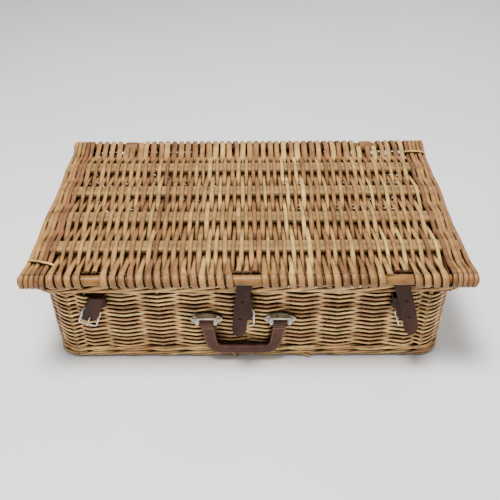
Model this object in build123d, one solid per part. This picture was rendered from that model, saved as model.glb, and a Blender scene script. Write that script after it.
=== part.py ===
from build123d import *
import math
import os

# Willow picnic hamper, in millimetres.
# X runs along its length, Y from front (minus) to back, Z up from the underside of its base.

# Overall driving sizes
LID_OVERHANG_ENDS = 25.0
LID_OVERHANG_FRONT = 26.0
SIDING_HALF_LENGTH = 305.0
SIDING_HALF_DEPTH = 166.0
SIDING_CORNER_RADIUS = 30.0
SIDING_THICKNESS = 12.6
SIDING_CORNER_THICKNESS = 11.0
SIDING_BOTTOM = 24.0
SIDING_TOP = 140.0

# Clearances
FIT_GAP = 0.2
RUNNING_GAP = 0.1
LEATHER_GAP = 0.3
LID_REST_GAP = 1.2
CUT_PAST_FACE = 1.0

# Base
BASE_FLOOR_THICKNESS = 6.0
BASE_STICK_DIAMETER = 9.0
BASE_OUTER_STICK_DIAMETER = 13.0
BASE_STICK_COUNT = 7
BASE_STICK_COVER = 2.4
BASE_OUTER_STICK_INSET = 12.0

# Uprights
STAKE_DIAMETER = 7.0
POST_DIAMETER = 10.0
LONG_SIDE_STAKE_COUNT = 10
SHORT_SIDE_STAKE_COUNT = 4
STAKE_SIDES = 6
UPRIGHT_STEPS_TO_HINGE = 4

# Rods of the siding, as they stand out over each stake
WEAVE_ROWS = 14
WEAVE_RELIEF = 2.2
WEAVE_ROD_GAP = 0.5
WEAVE_ROD_OVERLAP = 3.0

# Waling round the foot
WALING_ROD_DIAMETER = 8.0
WALING_ROD_COUNT = 3
WALING_ROD_SIDES = 8
WALING_THICKNESS = 11.0
WALING_CORE_THICKNESS = 9.0

# Rolled border round the top
BORDER_RADIUS = 15.0
BORDER_OUTSET = 2.0
BORDER_GAP = 0.5
BORDER_SIDES = 16

# Lid sticks and weave
LID_STICK_DIAMETER = 16.0
STICK_END_ROUNDING = 3.0
LID_BAND_COUNT = 4
BAND_ROD_DIAMETER = 11.0
BAND_ROD_SPACING = 12.0
BAND_END_INSET = 4.0
PASS_PITCH = 6.4
PASS_WIDTH = 5.5
PASS_THICKNESS = 4.6
PASS_FLAT_MARGIN = 2.5
PASS_END_SPREAD = 5.0
PASS_TRIM_MARGIN = 0.5
SIDE_ROD_COUNT = 5
SIDE_ROD_WIDTH = 6.9
SIDE_ROD_PITCH = 7.3
SIDE_ROD_INSET = 3.0
WRAP_WIDTH = 9.6
WRAP_THICKNESS = 2.2
WRAP_FACETS = 4
TIE_DIAMETER = 4.0
TIE_SIDES = 8
FRONT_TIE_NEAR_END = (47.0, 25.0)
FRONT_TIE_FAR_END = (6.0, 40.0)
REAR_TIE_NEAR_END = (42.0, 30.0)
REAR_TIE_FAR_END = (6.0, 33.0)

# Places along the length
STRAP_BESIDE_HINGE = 7.0
CENTRE_STRAP_X = -5.0
TONGUE_BESIDE_STRAP = 5.0
TONGUE_GAP_WIDTH = 30.0
HINGE_GAP_WIDTH = 28.0
HINGE_TAIL_LENGTH = 20.0
HINGE_SLOT_COVER = 2.0

# Straps
STRAP_WIDTH = 22.0
STRAP_THICKNESS = 2.4
TONGUE_THICKNESS = 3.0
TONGUE_LENGTH = 92.0
TONGUE_TIP_LENGTH = 11.0
TONGUE_TIP_SHARE = 0.45
TONGUE_TIP_ROUNDING = 4.5
TONGUE_HOLE_DIAMETER = 4.0
TONGUE_FIRST_HOLE = 29.0
TONGUE_HOLE_PITCH = 30.0
TONGUE_HOLE_COUNT = 2
TONGUE_LEAN = 8.6
CENTRE_TONGUE_SWAY = -6.0
RIGHT_TONGUE_SWAY = 15.0
TONGUE_BEND_Y = 2.0
TONGUE_BEND_DROP = 11.6
ANCHOR_ROD_DIAMETER = 4.4
ANCHOR_ROD_OVERHANG = 8.0
ANCHOR_ROD_SETBACK = 16.0
ANCHOR_LEG_OVERLAP = 0.5

BUCKLE_STRAP_DROP = 43.0
BUCKLE_STRAP_STANDOFF = 8.8
BUCKLE_STRAP_TOP = 136.8
STRAP_LOOP_HEIGHT = 20.0
LEFT_BUCKLE_SWAY = -22.0
CENTRE_BUCKLE_SWAY = 0.0
RIGHT_BUCKLE_SWAY = 18.0
FOLD_LEG_LENGTH = 17.0
PRONG_SLOT_WIDTH = 5.0
PRONG_SLOT_REACH = 2.2

# Buckles
BUCKLE_WIRE_DIAMETER = 2.4
BUCKLE_INNER_WIDTH = 24.0
BUCKLE_UPPER_REACH = 13.0
BUCKLE_LOWER_REACH = 12.0
BUCKLE_CORNER_RADIUS = 2.6
BUCKLE_TILT = 17.0
BUCKLE_BAR_SHARE = 0.97
PRONG_DIAMETER = 2.0
PRONG_EYE_WALL = 1.6
PRONG_OVERHANG = 2.0
PRONG_REST_GAP = 0.4
WIRE_SIDES = 8

# Handle and its plates
HANDLE_X = -8.0
HANDLE_PIN_SPACING = 114.0
HANDLE_PIN_Z = 87.0
HANDLE_PIN_STANDOFF = 8.0
HANDLE_PIN_DIAMETER = 3.2
HANDLE_ARM_WIDTH = 21.0
HANDLE_GRIP_HEIGHT = 18.5
HANDLE_THICKNESS = 6.0
HANDLE_DROP = 68.0
HANDLE_TAPER = 9.0
HANDLE_OUTER_CORNER = 24.0
HANDLE_INNER_CORNER = 9.0
HANDLE_LOOP_WALL = 3.0
PLATE_LENGTH = 54.0
PLATE_HEIGHT = 23.0
PLATE_THICKNESS = 2.0
PLATE_TIP_ROUNDING = 5.0
PLATE_STANDOFF = 0.3
LUG_THICKNESS = 4.4
LUG_SIDE_GAP = 1.3
LUG_NOSE_RADIUS = 4.2
LUG_BRIDGE_HEIGHT = 3.4
LUG_BRIDGE_RISE = 9.0
LUG_NOSE_FLAT = 3.0
LUG_CHIN_DROP = 2.0
LUG_ROOT = 0.5
LUG_SHOULDER_SHARE = 0.4
LUG_CHIN_SHARE = 0.3
PIN_END_OVERHANG = 0.6
SCREW_SPACING = 40.0
SCREW_HEAD_DIAMETER = 7.0
SCREW_HEAD_HEIGHT = 1.8
SCREW_HEAD_CHAMFER = 1.0
SCREW_SHANK_DIAMETER = 2.6
SCREW_BITE = 0.9

# Worked out from the sizes above
SIDING_HALF = SIDING_THICKNESS / 2
SIDING_CORE_HALF = SIDING_HALF - WEAVE_RELIEF
FRONT_FACE = SIDING_HALF_DEPTH + SIDING_HALF
SPAN_X = SIDING_HALF_LENGTH - SIDING_CORNER_RADIUS
SPAN_Y = SIDING_HALF_DEPTH - SIDING_CORNER_RADIUS
ROW_PITCH = (SIDING_TOP - SIDING_BOTTOM) / WEAVE_ROWS
STAKE_PITCH = 2 * SPAN_X / LONG_SIDE_STAKE_COUNT
HINGE_OFFSET = UPRIGHT_STEPS_TO_HINGE * STAKE_PITCH
STRAP_OFFSET = HINGE_OFFSET + STRAP_BESIDE_HINGE
RIGHT_TONGUE_X = STRAP_OFFSET - TONGUE_BESIDE_STRAP
LID_LENGTH = 2 * (SIDING_HALF_LENGTH + LID_OVERHANG_ENDS)
LID_DEPTH = 2 * (SIDING_HALF_DEPTH + LID_OVERHANG_FRONT)
BORDER_Z = SIDING_TOP + BORDER_GAP + BORDER_RADIUS
BORDER_RING_RADIUS = SIDING_CORNER_RADIUS + BORDER_OUTSET
STICK_Y = LID_DEPTH / 2
STICK_RADIUS = LID_STICK_DIAMETER / 2
BAND_PITCH = LID_DEPTH / (LID_BAND_COUNT + 1)
BAND_HALF = (BAND_ROD_SPACING + BAND_ROD_DIAMETER) / 2
CROSSING = BAND_ROD_DIAMETER / 2 + FIT_GAP
LID_HEIGHT = BORDER_Z + BORDER_RADIUS + LID_REST_GAP + CROSSING + PASS_THICKNESS
WRAP_INNER = (STICK_RADIUS + FIT_GAP / 2) / math.cos(math.pi / (2 * WRAP_FACETS))
TONGUE_HINGE_Y = -(STICK_Y - TONGUE_BEND_Y)
TONGUE_HINGE_Z = LID_HEIGHT - TONGUE_BEND_DROP
ANCHOR_ROD_Y = -(STICK_Y - ANCHOR_ROD_SETBACK)
BUCKLE_HINGE_Y = -(FRONT_FACE + BUCKLE_STRAP_STANDOFF)
PIN_Y = -(FRONT_FACE + HANDLE_PIN_STANDOFF)
FOLD_OUTER = BUCKLE_WIRE_DIAMETER / 2 + RUNNING_GAP + STRAP_THICKNESS
BUCKLE_BAR_Y = BUCKLE_HINGE_Y - STRAP_THICKNESS / 2 + FOLD_OUTER


def save(name, shapes):
    """Write one sub-part, of one or more separate solids, to its own file."""
    solids = []
    for shape in shapes:
        solids.extend(shape.solids())
    export_step(Compound(children=solids) if len(solids) > 1 else solids[0], f"parts/{name}.step")


def bar_along_x(length, diameter, x, y, z):
    """A round rod lying along X, given by its middle."""
    return Pos(x, y, z) * Rot(0, 90, 0) * Cylinder(diameter / 2, length)


def strip_from_profile(points, x, width):
    """A strip of constant width in X whose side view is a closed outline of (y, z) points."""
    return profile_extruded(Polygon(*points, align=None), x, width)


def profile_extruded(sketch, x, width):
    """A side-view sketch, drawn with y and z as its own two axes, made into a strip along X."""
    return extrude(Plane.YZ.offset(x - width / 2) * sketch, amount=width, dir=(1, 0, 0))


def prism(plan, bottom, top):
    """A plan drawn from above, made solid between two heights."""
    return extrude(Pos(0, 0, bottom) * plan, amount=top - bottom, dir=(0, 0, 1))


def disc(y, z, radius):
    return Pos(y, z) * Circle(radius)


def evenly_spaced(count, span):
    """Places at equal steps inside a span centred on zero, half a step in from its ends."""
    step = span / count
    return [step * (index + 0.5) - span / 2 for index in range(count)]


def stake_places_long():
    return evenly_spaced(LONG_SIDE_STAKE_COUNT, 2 * SPAN_X)


def stake_places_short():
    return evenly_spaced(SHORT_SIDE_STAKE_COUNT, 2 * SPAN_Y)


def upright(x, y, diameter, bottom, top, turn=0):
    """A stake, drawn with few sides, standing between two heights."""
    outline = Pos(x, y) * Rot(0, 0, turn) * RegularPolygon(diameter / 2, STAKE_SIDES)
    return prism(outline, bottom, top)


def long_side_uprights(side, diameter, bottom, top):
    return [upright(x, side * SIDING_HALF_DEPTH, diameter, bottom, top) for x in stake_places_long()]


def short_side_uprights(side, diameter, bottom, top):
    x = side * SIDING_HALF_LENGTH
    return [upright(x, y, diameter, bottom, top, turn=90) for y in stake_places_short()]


def corner_post_places():
    places = []
    for side_x in (-1, 1):
        for side_y in (-1, 1):
            places.append((side_x * SPAN_X, side_y * SIDING_HALF_DEPTH))
            places.append((side_x * SIDING_HALF_LENGTH, side_y * SPAN_Y))
    return places


def woven_rod(x, z, half_length, face):
    """The stretch of one rod that stands out over a stake and sinks away towards both its neighbours."""
    half_height = ROW_PITCH / 2 - WEAVE_ROD_GAP / 2
    outline = Plane.XZ * Polygon(
        (-half_length, 0), (0, -half_height), (half_length, 0), (0, half_height), align=None
    )
    crest = Vertex(0, WEAVE_RELIEF, 0)
    rod = loft([outline, crest])
    if face < 0:
        rod = Rot(0, 0, 180) * rod
    return Pos(x, face * SIDING_CORE_HALF, z) * rod


def woven_rods(half_length, places, pitch):
    """Rods over every stake, on both faces, each row half a step higher than beside the next stake."""
    rods = []
    reach = pitch / 2 + WEAVE_ROD_OVERLAP
    for column, place in enumerate(places):
        for face in (-1, 1):
            raised = column % 2 == (0 if face > 0 else 1)
            first = 0.5 if raised else 1.0
            count = WEAVE_ROWS if raised else WEAVE_ROWS - 1
            for row in range(count):
                z = SIDING_BOTTOM + ROW_PITCH * (row + first)
                length = min(reach, half_length - abs(place))
                rods.append(woven_rod(place, z, length, face))
    return rods


def siding_panel(half_length, places, pitch):
    """One woven side lying along X with its outside towards plus Y, bored for its stakes."""
    height = SIDING_TOP - SIDING_BOTTOM
    core = Pos(0, 0, SIDING_BOTTOM + height / 2) * Box(2 * half_length, 2 * SIDING_CORE_HALF, height)
    panel = core.fuse(*woven_rods(half_length, places, pitch))
    bottom, top = SIDING_BOTTOM - CUT_PAST_FACE, SIDING_TOP + CUT_PAST_FACE
    bores = [upright(place, 0, STAKE_DIAMETER + FIT_GAP, bottom, top) for place in places]
    return panel.cut(*bores)


def panel_end(span):
    return span - POST_DIAMETER / 2 - FIT_GAP


def strap_slot(x, side, z, height):
    """The gap between the rods that a strap goes through, right through the siding."""
    depth = 2 * SIDING_THICKNESS
    return Pos(x, side * SIDING_HALF_DEPTH, z) * Box(
        STRAP_WIDTH + 2 * LEATHER_GAP, depth, height + 2 * LEATHER_GAP
    )


def buckle_strap_places():
    return (
        ("left", -STRAP_OFFSET, LEFT_BUCKLE_SWAY),
        ("centre", CENTRE_STRAP_X, CENTRE_BUCKLE_SWAY),
        ("right", STRAP_OFFSET, RIGHT_BUCKLE_SWAY),
    )


def screw_places():
    return [
        HANDLE_X + side * HANDLE_PIN_SPACING / 2 + end * SCREW_SPACING / 2
        for side in (-1, 1)
        for end in (-1, 1)
    ]


def screw_shank(x, diameter):
    face = -(FRONT_FACE + PLATE_STANDOFF + PLATE_THICKNESS)
    length = PLATE_STANDOFF + PLATE_THICKNESS + WEAVE_RELIEF + SCREW_BITE
    return Pos(x, face + length / 2, HANDLE_PIN_Z) * Rot(90, 0, 0) * Cylinder(diameter / 2, length)


def front_siding():
    panel = Pos(0, -SIDING_HALF_DEPTH, 0) * Rot(0, 0, 180) * siding_panel(
        panel_end(SPAN_X), stake_places_long(), STAKE_PITCH
    )
    for _, x, _ in buckle_strap_places():
        panel -= strap_slot(x, -1, BUCKLE_STRAP_TOP, STRAP_THICKNESS)
        panel -= strap_slot(x, -1, BUCKLE_STRAP_TOP - STRAP_LOOP_HEIGHT, STRAP_THICKNESS)
    for x in screw_places():
        panel -= screw_shank(x, SCREW_SHANK_DIAMETER + FIT_GAP)
    return panel


def rear_siding():
    panel = Pos(0, SIDING_HALF_DEPTH, 0) * siding_panel(
        panel_end(SPAN_X), stake_places_long(), STAKE_PITCH
    )
    for side in (-1, 1):
        panel -= strap_slot(side * HINGE_OFFSET, 1, hinge_slot_z(), 2 * STRAP_THICKNESS)
    return panel


def end_siding(side):
    turn = -90 * side
    return Pos(side * SIDING_HALF_LENGTH, 0, 0) * Rot(0, 0, turn) * siding_panel(
        panel_end(SPAN_Y), stake_places_short(), 2 * SPAN_Y / SHORT_SIDE_STAKE_COUNT
    )


def at_corner(side_x, side_y, z, quarter):
    """Set a quarter turn, drawn between plus X and plus Y, at one of the four corners."""
    turn = {(1, 1): 0, (-1, 1): 90, (-1, -1): 180, (1, -1): 270}[(side_x, side_y)]
    return Pos(side_x * SPAN_X, side_y * SPAN_Y, z) * Rot(0, 0, turn) * quarter


def corner_siding(side_x, side_y):
    """The woven quarter turn between two corner posts."""
    outer = SIDING_CORNER_RADIUS + SIDING_CORNER_THICKNESS / 2
    inner = SIDING_CORNER_RADIUS - SIDING_CORNER_THICKNESS / 2
    post_clear = POST_DIAMETER / 2 + FIT_GAP
    ring = Circle(outer) - Circle(inner)
    quarter = Pos(outer / 2 + post_clear, outer / 2 + post_clear) * Rectangle(outer, outer)
    return at_corner(side_x, side_y, 0, prism(ring & quarter, SIDING_BOTTOM, SIDING_TOP))


def bottom_waling():
    """Three stout rods laid round the foot of the siding, seated on the floor by a flat underside."""
    half = WALING_THICKNESS / 2
    pitch = SIDING_BOTTOM / WALING_ROD_COUNT
    outline = Pos(0, SIDING_BOTTOM / 2) * Rectangle(WALING_CORE_THICKNESS, SIDING_BOTTOM)
    for index in range(WALING_ROD_COUNT):
        lobe = Pos(half - WALING_ROD_DIAMETER / 2, pitch * (index + 0.5)) * RegularPolygon(
            WALING_ROD_DIAMETER / 2, WALING_ROD_SIDES
        )
        outline += lobe
    path = RectangleRounded(2 * SIDING_HALF_LENGTH, 2 * SIDING_HALF_DEPTH, SIDING_CORNER_RADIUS).wire()
    section = Plane(
        origin=(0, SIDING_HALF_DEPTH, 0), x_dir=(0, 1, 0), z_dir=(1, 0, 0)
    ) * outline
    ring = sweep(section, path=path)
    bores = []
    bore = STAKE_DIAMETER + FIT_GAP
    foot = BASE_STICK_COVER - FIT_GAP
    for side in (-1, 1):
        bores += long_side_uprights(side, bore, foot, SIDING_BOTTOM + CUT_PAST_FACE)
        bores += short_side_uprights(side, bore, foot, SIDING_BOTTOM + CUT_PAST_FACE)
    for bore in bores:
        ring -= bore
    return ring


def corner_posts():
    return [
        Pos(x, y, (SIDING_TOP + SIDING_BOTTOM) / 2) * Cylinder(POST_DIAMETER / 2, SIDING_TOP - SIDING_BOTTOM)
        for x, y in corner_post_places()
    ]


def base_stick_rows():
    """Where the lengthwise base sticks lie, the two outermost ones stouter than the rest."""
    edge = SIDING_HALF_DEPTH - WALING_THICKNESS / 2 - BASE_OUTER_STICK_INSET
    step = 2 * edge / (BASE_STICK_COUNT - 1)
    return [index * step - edge for index in range(BASE_STICK_COUNT)]


def base_plan():
    """The floor's plan, a close fit inside the waling."""
    inset = WALING_THICKNESS / 2 + FIT_GAP
    return RectangleRounded(
        2 * (SIDING_HALF_LENGTH - inset), 2 * (SIDING_HALF_DEPTH - inset), SIDING_CORNER_RADIUS - inset
    )


def trimmed_to_base(shape):
    return shape & prism(base_plan(), -CUT_PAST_FACE, SIDING_BOTTOM)


def base_stick_height():
    return BASE_STICK_COVER + BASE_STICK_DIAMETER / 2


def base_outer_stick_height():
    return BASE_STICK_COVER + BASE_OUTER_STICK_DIAMETER / 2


def base_inner_sticks():
    length = 2 * SIDING_HALF_LENGTH
    return [
        trimmed_to_base(bar_along_x(length, BASE_STICK_DIAMETER, 0, y, base_stick_height()))
        for y in base_stick_rows()[1:-1]
    ]


def base_outer_sticks():
    rows = base_stick_rows()
    length = 2 * SIDING_HALF_LENGTH
    return [
        trimmed_to_base(bar_along_x(length, BASE_OUTER_STICK_DIAMETER, 0, y, base_outer_stick_height()))
        for y in (rows[0], rows[-1])
    ]


def base_weave():
    """The woven floor: flat below, swelling over each stick above, and bored for the sticks."""
    outline = Pos(0, BASE_FLOOR_THICKNESS / 2) * Rectangle(2 * SIDING_HALF_DEPTH, BASE_FLOOR_THICKNESS)
    rows = base_stick_rows()
    holes = []
    for y in rows:
        outer_row = y in (rows[0], rows[-1])
        diameter = BASE_OUTER_STICK_DIAMETER if outer_row else BASE_STICK_DIAMETER
        height = base_outer_stick_height() if outer_row else base_stick_height()
        outline += disc(y, height, diameter / 2 + BASE_STICK_COVER)
        holes.append(disc(y, height, diameter / 2 + FIT_GAP / 2))
    for hole in holes:
        outline -= hole
    return trimmed_to_base(profile_extruded(outline, 0, 2 * SIDING_HALF_LENGTH))


def border_straight(side_x, side_y):
    """A straight run of the rolled border, along X where side_y is given, otherwise along Y."""
    if side_y:
        y = side_y * (SIDING_HALF_DEPTH + BORDER_OUTSET)
        return bar_along_x(2 * SPAN_X, 2 * BORDER_RADIUS, 0, y, BORDER_Z)
    x = side_x * (SIDING_HALF_LENGTH + BORDER_OUTSET)
    return Pos(x, 0, BORDER_Z) * Rot(90, 0, 0) * Cylinder(BORDER_RADIUS, 2 * SPAN_Y)


def border_corner(side_x, side_y):
    section = Plane.XZ * (Pos(BORDER_RING_RADIUS, 0) * RegularPolygon(BORDER_RADIUS, BORDER_SIDES))
    return at_corner(side_x, side_y, BORDER_Z, revolve(section, axis=Axis.Z, revolution_arc=90))


def lid_stick(side):
    """A stout round stick along the front or the back of the lid, its ends rounded over."""
    stick = Rot(0, 90, 0) * Cylinder(STICK_RADIUS, LID_LENGTH)
    stick = chamfer(stick.edges().filter_by(GeomType.CIRCLE), STICK_END_ROUNDING)
    return Pos(0, side * STICK_Y, LID_HEIGHT) * stick


def band_rows():
    return [BAND_PITCH * (index + 1) - LID_DEPTH / 2 for index in range(LID_BAND_COUNT)]


def lid_band(y):
    """Two thinner sticks side by side, which the weave goes over and under."""
    length = LID_LENGTH - 2 * BAND_END_INSET
    offset = BAND_ROD_SPACING / 2
    return [bar_along_x(length, BAND_ROD_DIAMETER, 0, y + side * offset, LID_HEIGHT) for side in (-1, 1)]


def pass_side_view(over_first, front_end, rear_end):
    """The side view of one rod of the lid's weave, as it dips under one band and rises over the next.

    The face towards a band is flat where it crosses it, and the far face comes to a soft crest.
    """
    above = []
    below = []
    crest = CROSSING + PASS_THICKNESS
    flat = BAND_HALF - PASS_FLAT_MARGIN - BAND_ROD_DIAMETER / 4
    sign = 1 if over_first else -1
    stick_face = STICK_RADIUS + FIT_GAP
    stops = [(-STICK_Y, sign)]
    for index, y in enumerate(band_rows()):
        stops.append((y, sign * (-1) ** (index + 1)))
    stops.append((STICK_Y, -sign))
    for index, (y, up) in enumerate(stops):
        near, far = CROSSING, crest
        spread = flat
        if index in (0, len(stops) - 1):
            near, far = stick_face, stick_face + PASS_THICKNESS
            spread = PASS_END_SPREAD
        inner = [(y - spread, up * near), (y + spread, up * near)]
        outer = [(y, up * far)]
        if index == 0:
            inner = inner[1:]
            inner.insert(0, (y, up * near))
        if index == len(stops) - 1:
            inner = inner[:1]
            inner.append((y, up * near))
        above += outer if up > 0 else inner
        below += inner if up > 0 else outer
    above = trim_run(above, front_end, rear_end)
    below = trim_run(below, front_end, rear_end)
    points = above + list(reversed(below))
    return [(y, LID_HEIGHT + z) for y, z in points]


def trim_run(run, start, end):
    """Cut a run of points, in order of y, to the stretch between two values of y."""
    cut = [(start, height_on_run(run, start))]
    cut += [point for point in run if start + PASS_TRIM_MARGIN < point[0] < end - PASS_TRIM_MARGIN]
    cut.append((end, height_on_run(run, end)))
    return cut


def height_on_run(run, y):
    for (y0, z0), (y1, z1) in zip(run, run[1:]):
        if y0 <= y <= y1:
            return z0 + (z1 - z0) * (y - y0) / (y1 - y0)
    return run[0][1] if y < run[0][0] else run[-1][1]


def tongue_places():
    return (("centre", CENTRE_STRAP_X, CENTRE_TONGUE_SWAY), ("right", RIGHT_TONGUE_X, RIGHT_TONGUE_SWAY))


def front_gap_places():
    """Places along the front stick that are left bare for a strap to pass under."""
    return [-RIGHT_TONGUE_X, CENTRE_STRAP_X, RIGHT_TONGUE_X]


def rear_gap_places():
    return [-HINGE_OFFSET, HINGE_OFFSET]


def in_gap(x, width, places, gap_width):
    return any(abs(x - place) < (gap_width + width) / 2 for place in places)


def weave_half_width():
    return LID_LENGTH / 2 - SIDE_ROD_INSET - SIDE_ROD_COUNT * SIDE_ROD_PITCH


def wrap_places():
    count = int(2 * weave_half_width() / (2 * PASS_PITCH))
    return evenly_spaced(count, count * 2 * PASS_PITCH)


def lid_passes():
    """Every rod of the lid's weave. Those that meet a gap for a strap stop short of the stick."""
    rods = []
    short_front = ANCHOR_ROD_Y + ANCHOR_ROD_DIAMETER / 2 + RUNNING_GAP + TONGUE_THICKNESS
    short_rear = STICK_Y - STICK_RADIUS - 2 * STRAP_THICKNESS - 2 * LEATHER_GAP
    for middle in wrap_places():
        for side in (-1, 1):
            x = middle + side * PASS_PITCH / 2
            front_open = in_gap(x, PASS_WIDTH, front_gap_places(), TONGUE_GAP_WIDTH)
            rear_open = in_gap(x, PASS_WIDTH, rear_gap_places(), HINGE_GAP_WIDTH)
            front_end = short_front if front_open else -STICK_Y
            rear_end = short_rear if rear_open else STICK_Y
            profile = pass_side_view(side < 0, front_end, rear_end)
            rods.append(strip_from_profile(profile, x, PASS_WIDTH))
    return rods


def lid_side_rods(side):
    """Stout rods packed closely along one end of the lid."""
    rods = []
    for index in range(SIDE_ROD_COUNT):
        x = side * (LID_LENGTH / 2 - SIDE_ROD_INSET - SIDE_ROD_PITCH * (index + 0.5))
        profile = pass_side_view(index % 2 == 0, -STICK_Y, STICK_Y)
        rods.append(strip_from_profile(profile, x, SIDE_ROD_WIDTH))
    return rods


def over_rod_height(setback):
    """How high the top of the lid's weave stands, some way in from the middle of its front or rear stick."""
    far = BAND_PITCH - BAND_HALF + PASS_FLAT_MARGIN + BAND_ROD_DIAMETER / 4
    crest = STICK_RADIUS + FIT_GAP + PASS_THICKNESS
    return LID_HEIGHT + crest - (crest + CROSSING) * setback / far


def corner_tie(side, near_end, far_end):
    """A thin rod that lies across the lid's outer rods and holds them down beside a stick.

    Each end is given as its distance in from the lid's end and from the middle of the stick. A
    tie at the front lies at the left corner, one at the back at the right.
    """
    ends = []
    for inset, setback in (near_end, far_end):
        z = over_rod_height(setback) + FIT_GAP + TIE_DIAMETER / 2
        ends.append(Vector(side * (LID_LENGTH / 2 - inset), side * (STICK_Y - setback), z))
    run = ends[1] - ends[0]
    section = Plane(origin=ends[0], z_dir=run) * RegularPolygon(TIE_DIAMETER / 2, TIE_SIDES)
    return extrude(section, amount=run.length)


def wrap_side_view(side):
    """Half a turn round the outer side of a lid stick."""
    outer = WRAP_INNER + WRAP_THICKNESS
    angles = [math.pi / 2 + math.pi * index / WRAP_FACETS for index in range(WRAP_FACETS + 1)]
    ring = [(outer * math.cos(angle), outer * math.sin(angle)) for angle in angles]
    ring += [(WRAP_INNER * math.cos(angle), WRAP_INNER * math.sin(angle)) for angle in reversed(angles)]
    return [(side * STICK_Y - side * y, LID_HEIGHT + z) for y, z in ring]


def lid_wraps(side, gap_places, gap_width):
    """The willow that binds the weave round a stick, left out where a strap passes."""
    profile = wrap_side_view(side)
    return [
        strip_from_profile(profile, x, WRAP_WIDTH)
        for x in wrap_places()
        if not in_gap(x, WRAP_WIDTH, gap_places, gap_width)
    ]


def anchor_rod(x):
    """A thin rod caught in the weave behind the front stick, which holds the end of a strap."""
    length = TONGUE_GAP_WIDTH + 2 * ANCHOR_ROD_OVERHANG
    return bar_along_x(length, ANCHOR_ROD_DIAMETER, x, ANCHOR_ROD_Y, LID_HEIGHT)


def tongue_loop(x):
    """The upper end of a strap: looped round its anchor rod, then led down under the front stick."""
    bore = ANCHOR_ROD_DIAMETER / 2 + RUNNING_GAP
    outer = bore + TONGUE_THICKNESS
    start_y = ANCHOR_ROD_Y - ANCHOR_LEG_OVERLAP
    start_z = LID_HEIGHT - bore - TONGUE_THICKNESS / 2
    run_y = TONGUE_HINGE_Y - start_y
    run_z = TONGUE_HINGE_Z - start_z
    run = math.hypot(run_y, run_z)
    clear = TONGUE_THICKNESS / 2 + LEATHER_GAP
    length = run - clear
    angle = math.degrees(math.atan2(run_z, run_y))
    leg = Pos(length / 2, 0) * Rectangle(length, TONGUE_THICKNESS)
    leg = Pos(start_y, start_z) * Rot(0, 0, angle) * leg
    profile = disc(ANCHOR_ROD_Y, LID_HEIGHT, outer) + leg
    profile -= disc(ANCHOR_ROD_Y, LID_HEIGHT, bore)
    return profile_extruded(profile, x, STRAP_WIDTH)


def knuckle(thickness, sway):
    """The rounded bend along the top edge of a hanging strap, which lies along X."""
    return Rot(0, 90, 0) * Cylinder(thickness / 2, STRAP_WIDTH / math.cos(math.radians(sway)))


def swayed_about_top(strap, sway, thickness):
    """Lean a hanging strap sideways, with its top edge trimmed level and bent round X."""
    room = 2 * TONGUE_LENGTH
    leaning = Rot(0, -sway, 0) * strap
    leaning &= Pos(0, 0, -room / 2) * Box(room, room, room)
    return leaning + knuckle(thickness, sway)


def strap_blade(sway):
    """A flat strap hanging from its top edge at the origin, with a narrowed tip and its holes."""
    half = STRAP_WIDTH / 2
    shoulder = -(TONGUE_LENGTH - TONGUE_TIP_LENGTH)
    tip = half * TONGUE_TIP_SHARE
    points = [
        (-half, half),
        (half, half),
        (half, shoulder),
        (tip, -TONGUE_LENGTH),
        (-tip, -TONGUE_LENGTH),
        (-half, shoulder),
    ]
    outline = Polygon(*points, align=None)
    outline = fillet(outline.vertices().group_by(Axis.Y)[0], TONGUE_TIP_ROUNDING)
    blade = extrude(Plane.XZ * outline, amount=TONGUE_THICKNESS / 2, both=True)
    for index in range(TONGUE_HOLE_COUNT):
        depth = TONGUE_FIRST_HOLE + TONGUE_HOLE_PITCH * index
        hole = Rot(90, 0, 0) * Cylinder(TONGUE_HOLE_DIAMETER / 2, 2 * TONGUE_THICKNESS)
        blade -= Pos(0, 0, -depth) * hole
    return swayed_about_top(blade, sway, TONGUE_THICKNESS)


def tongue(x, sway):
    return Pos(x, TONGUE_HINGE_Y, TONGUE_HINGE_Z) * Rot(-TONGUE_LEAN, 0, 0) * strap_blade(sway)


def strap_loop(x):
    """The fixed end of a buckle strap, threaded through the siding and closed on itself."""
    outside = -(FRONT_FACE + LEATHER_GAP + STRAP_THICKNESS)
    inside = -(SIDING_HALF_DEPTH - SIDING_HALF - LEATHER_GAP - STRAP_THICKNESS)
    top = BUCKLE_STRAP_TOP + STRAP_THICKNESS / 2
    bottom = BUCKLE_STRAP_TOP - STRAP_LOOP_HEIGHT - STRAP_THICKNESS / 2
    middle = ((outside + inside) / 2, (top + bottom) / 2)
    size = (inside - outside, top - bottom)
    profile = Pos(*middle) * Rectangle(*size)
    profile -= Pos(*middle) * Rectangle(size[0] - 2 * STRAP_THICKNESS, size[1] - 2 * STRAP_THICKNESS)
    reach = BUCKLE_HINGE_Y + STRAP_THICKNESS / 2 + LEATHER_GAP
    lip = outside - reach
    profile += Pos(reach + lip / 2, BUCKLE_STRAP_TOP) * Rectangle(lip, STRAP_THICKNESS)
    return profile_extruded(profile, x, STRAP_WIDTH)


def hung_on_front(x, shape):
    return Pos(x, BUCKLE_HINGE_Y, BUCKLE_STRAP_TOP) * shape


def at_buckle_bar(sway, shape):
    """Set a piece of a buckle on the middle bar of a strap that leans sideways."""
    return Rot(0, -sway, 0) * Pos(0, BUCKLE_BAR_Y - BUCKLE_HINGE_Y, -BUCKLE_STRAP_DROP) * shape


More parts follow.
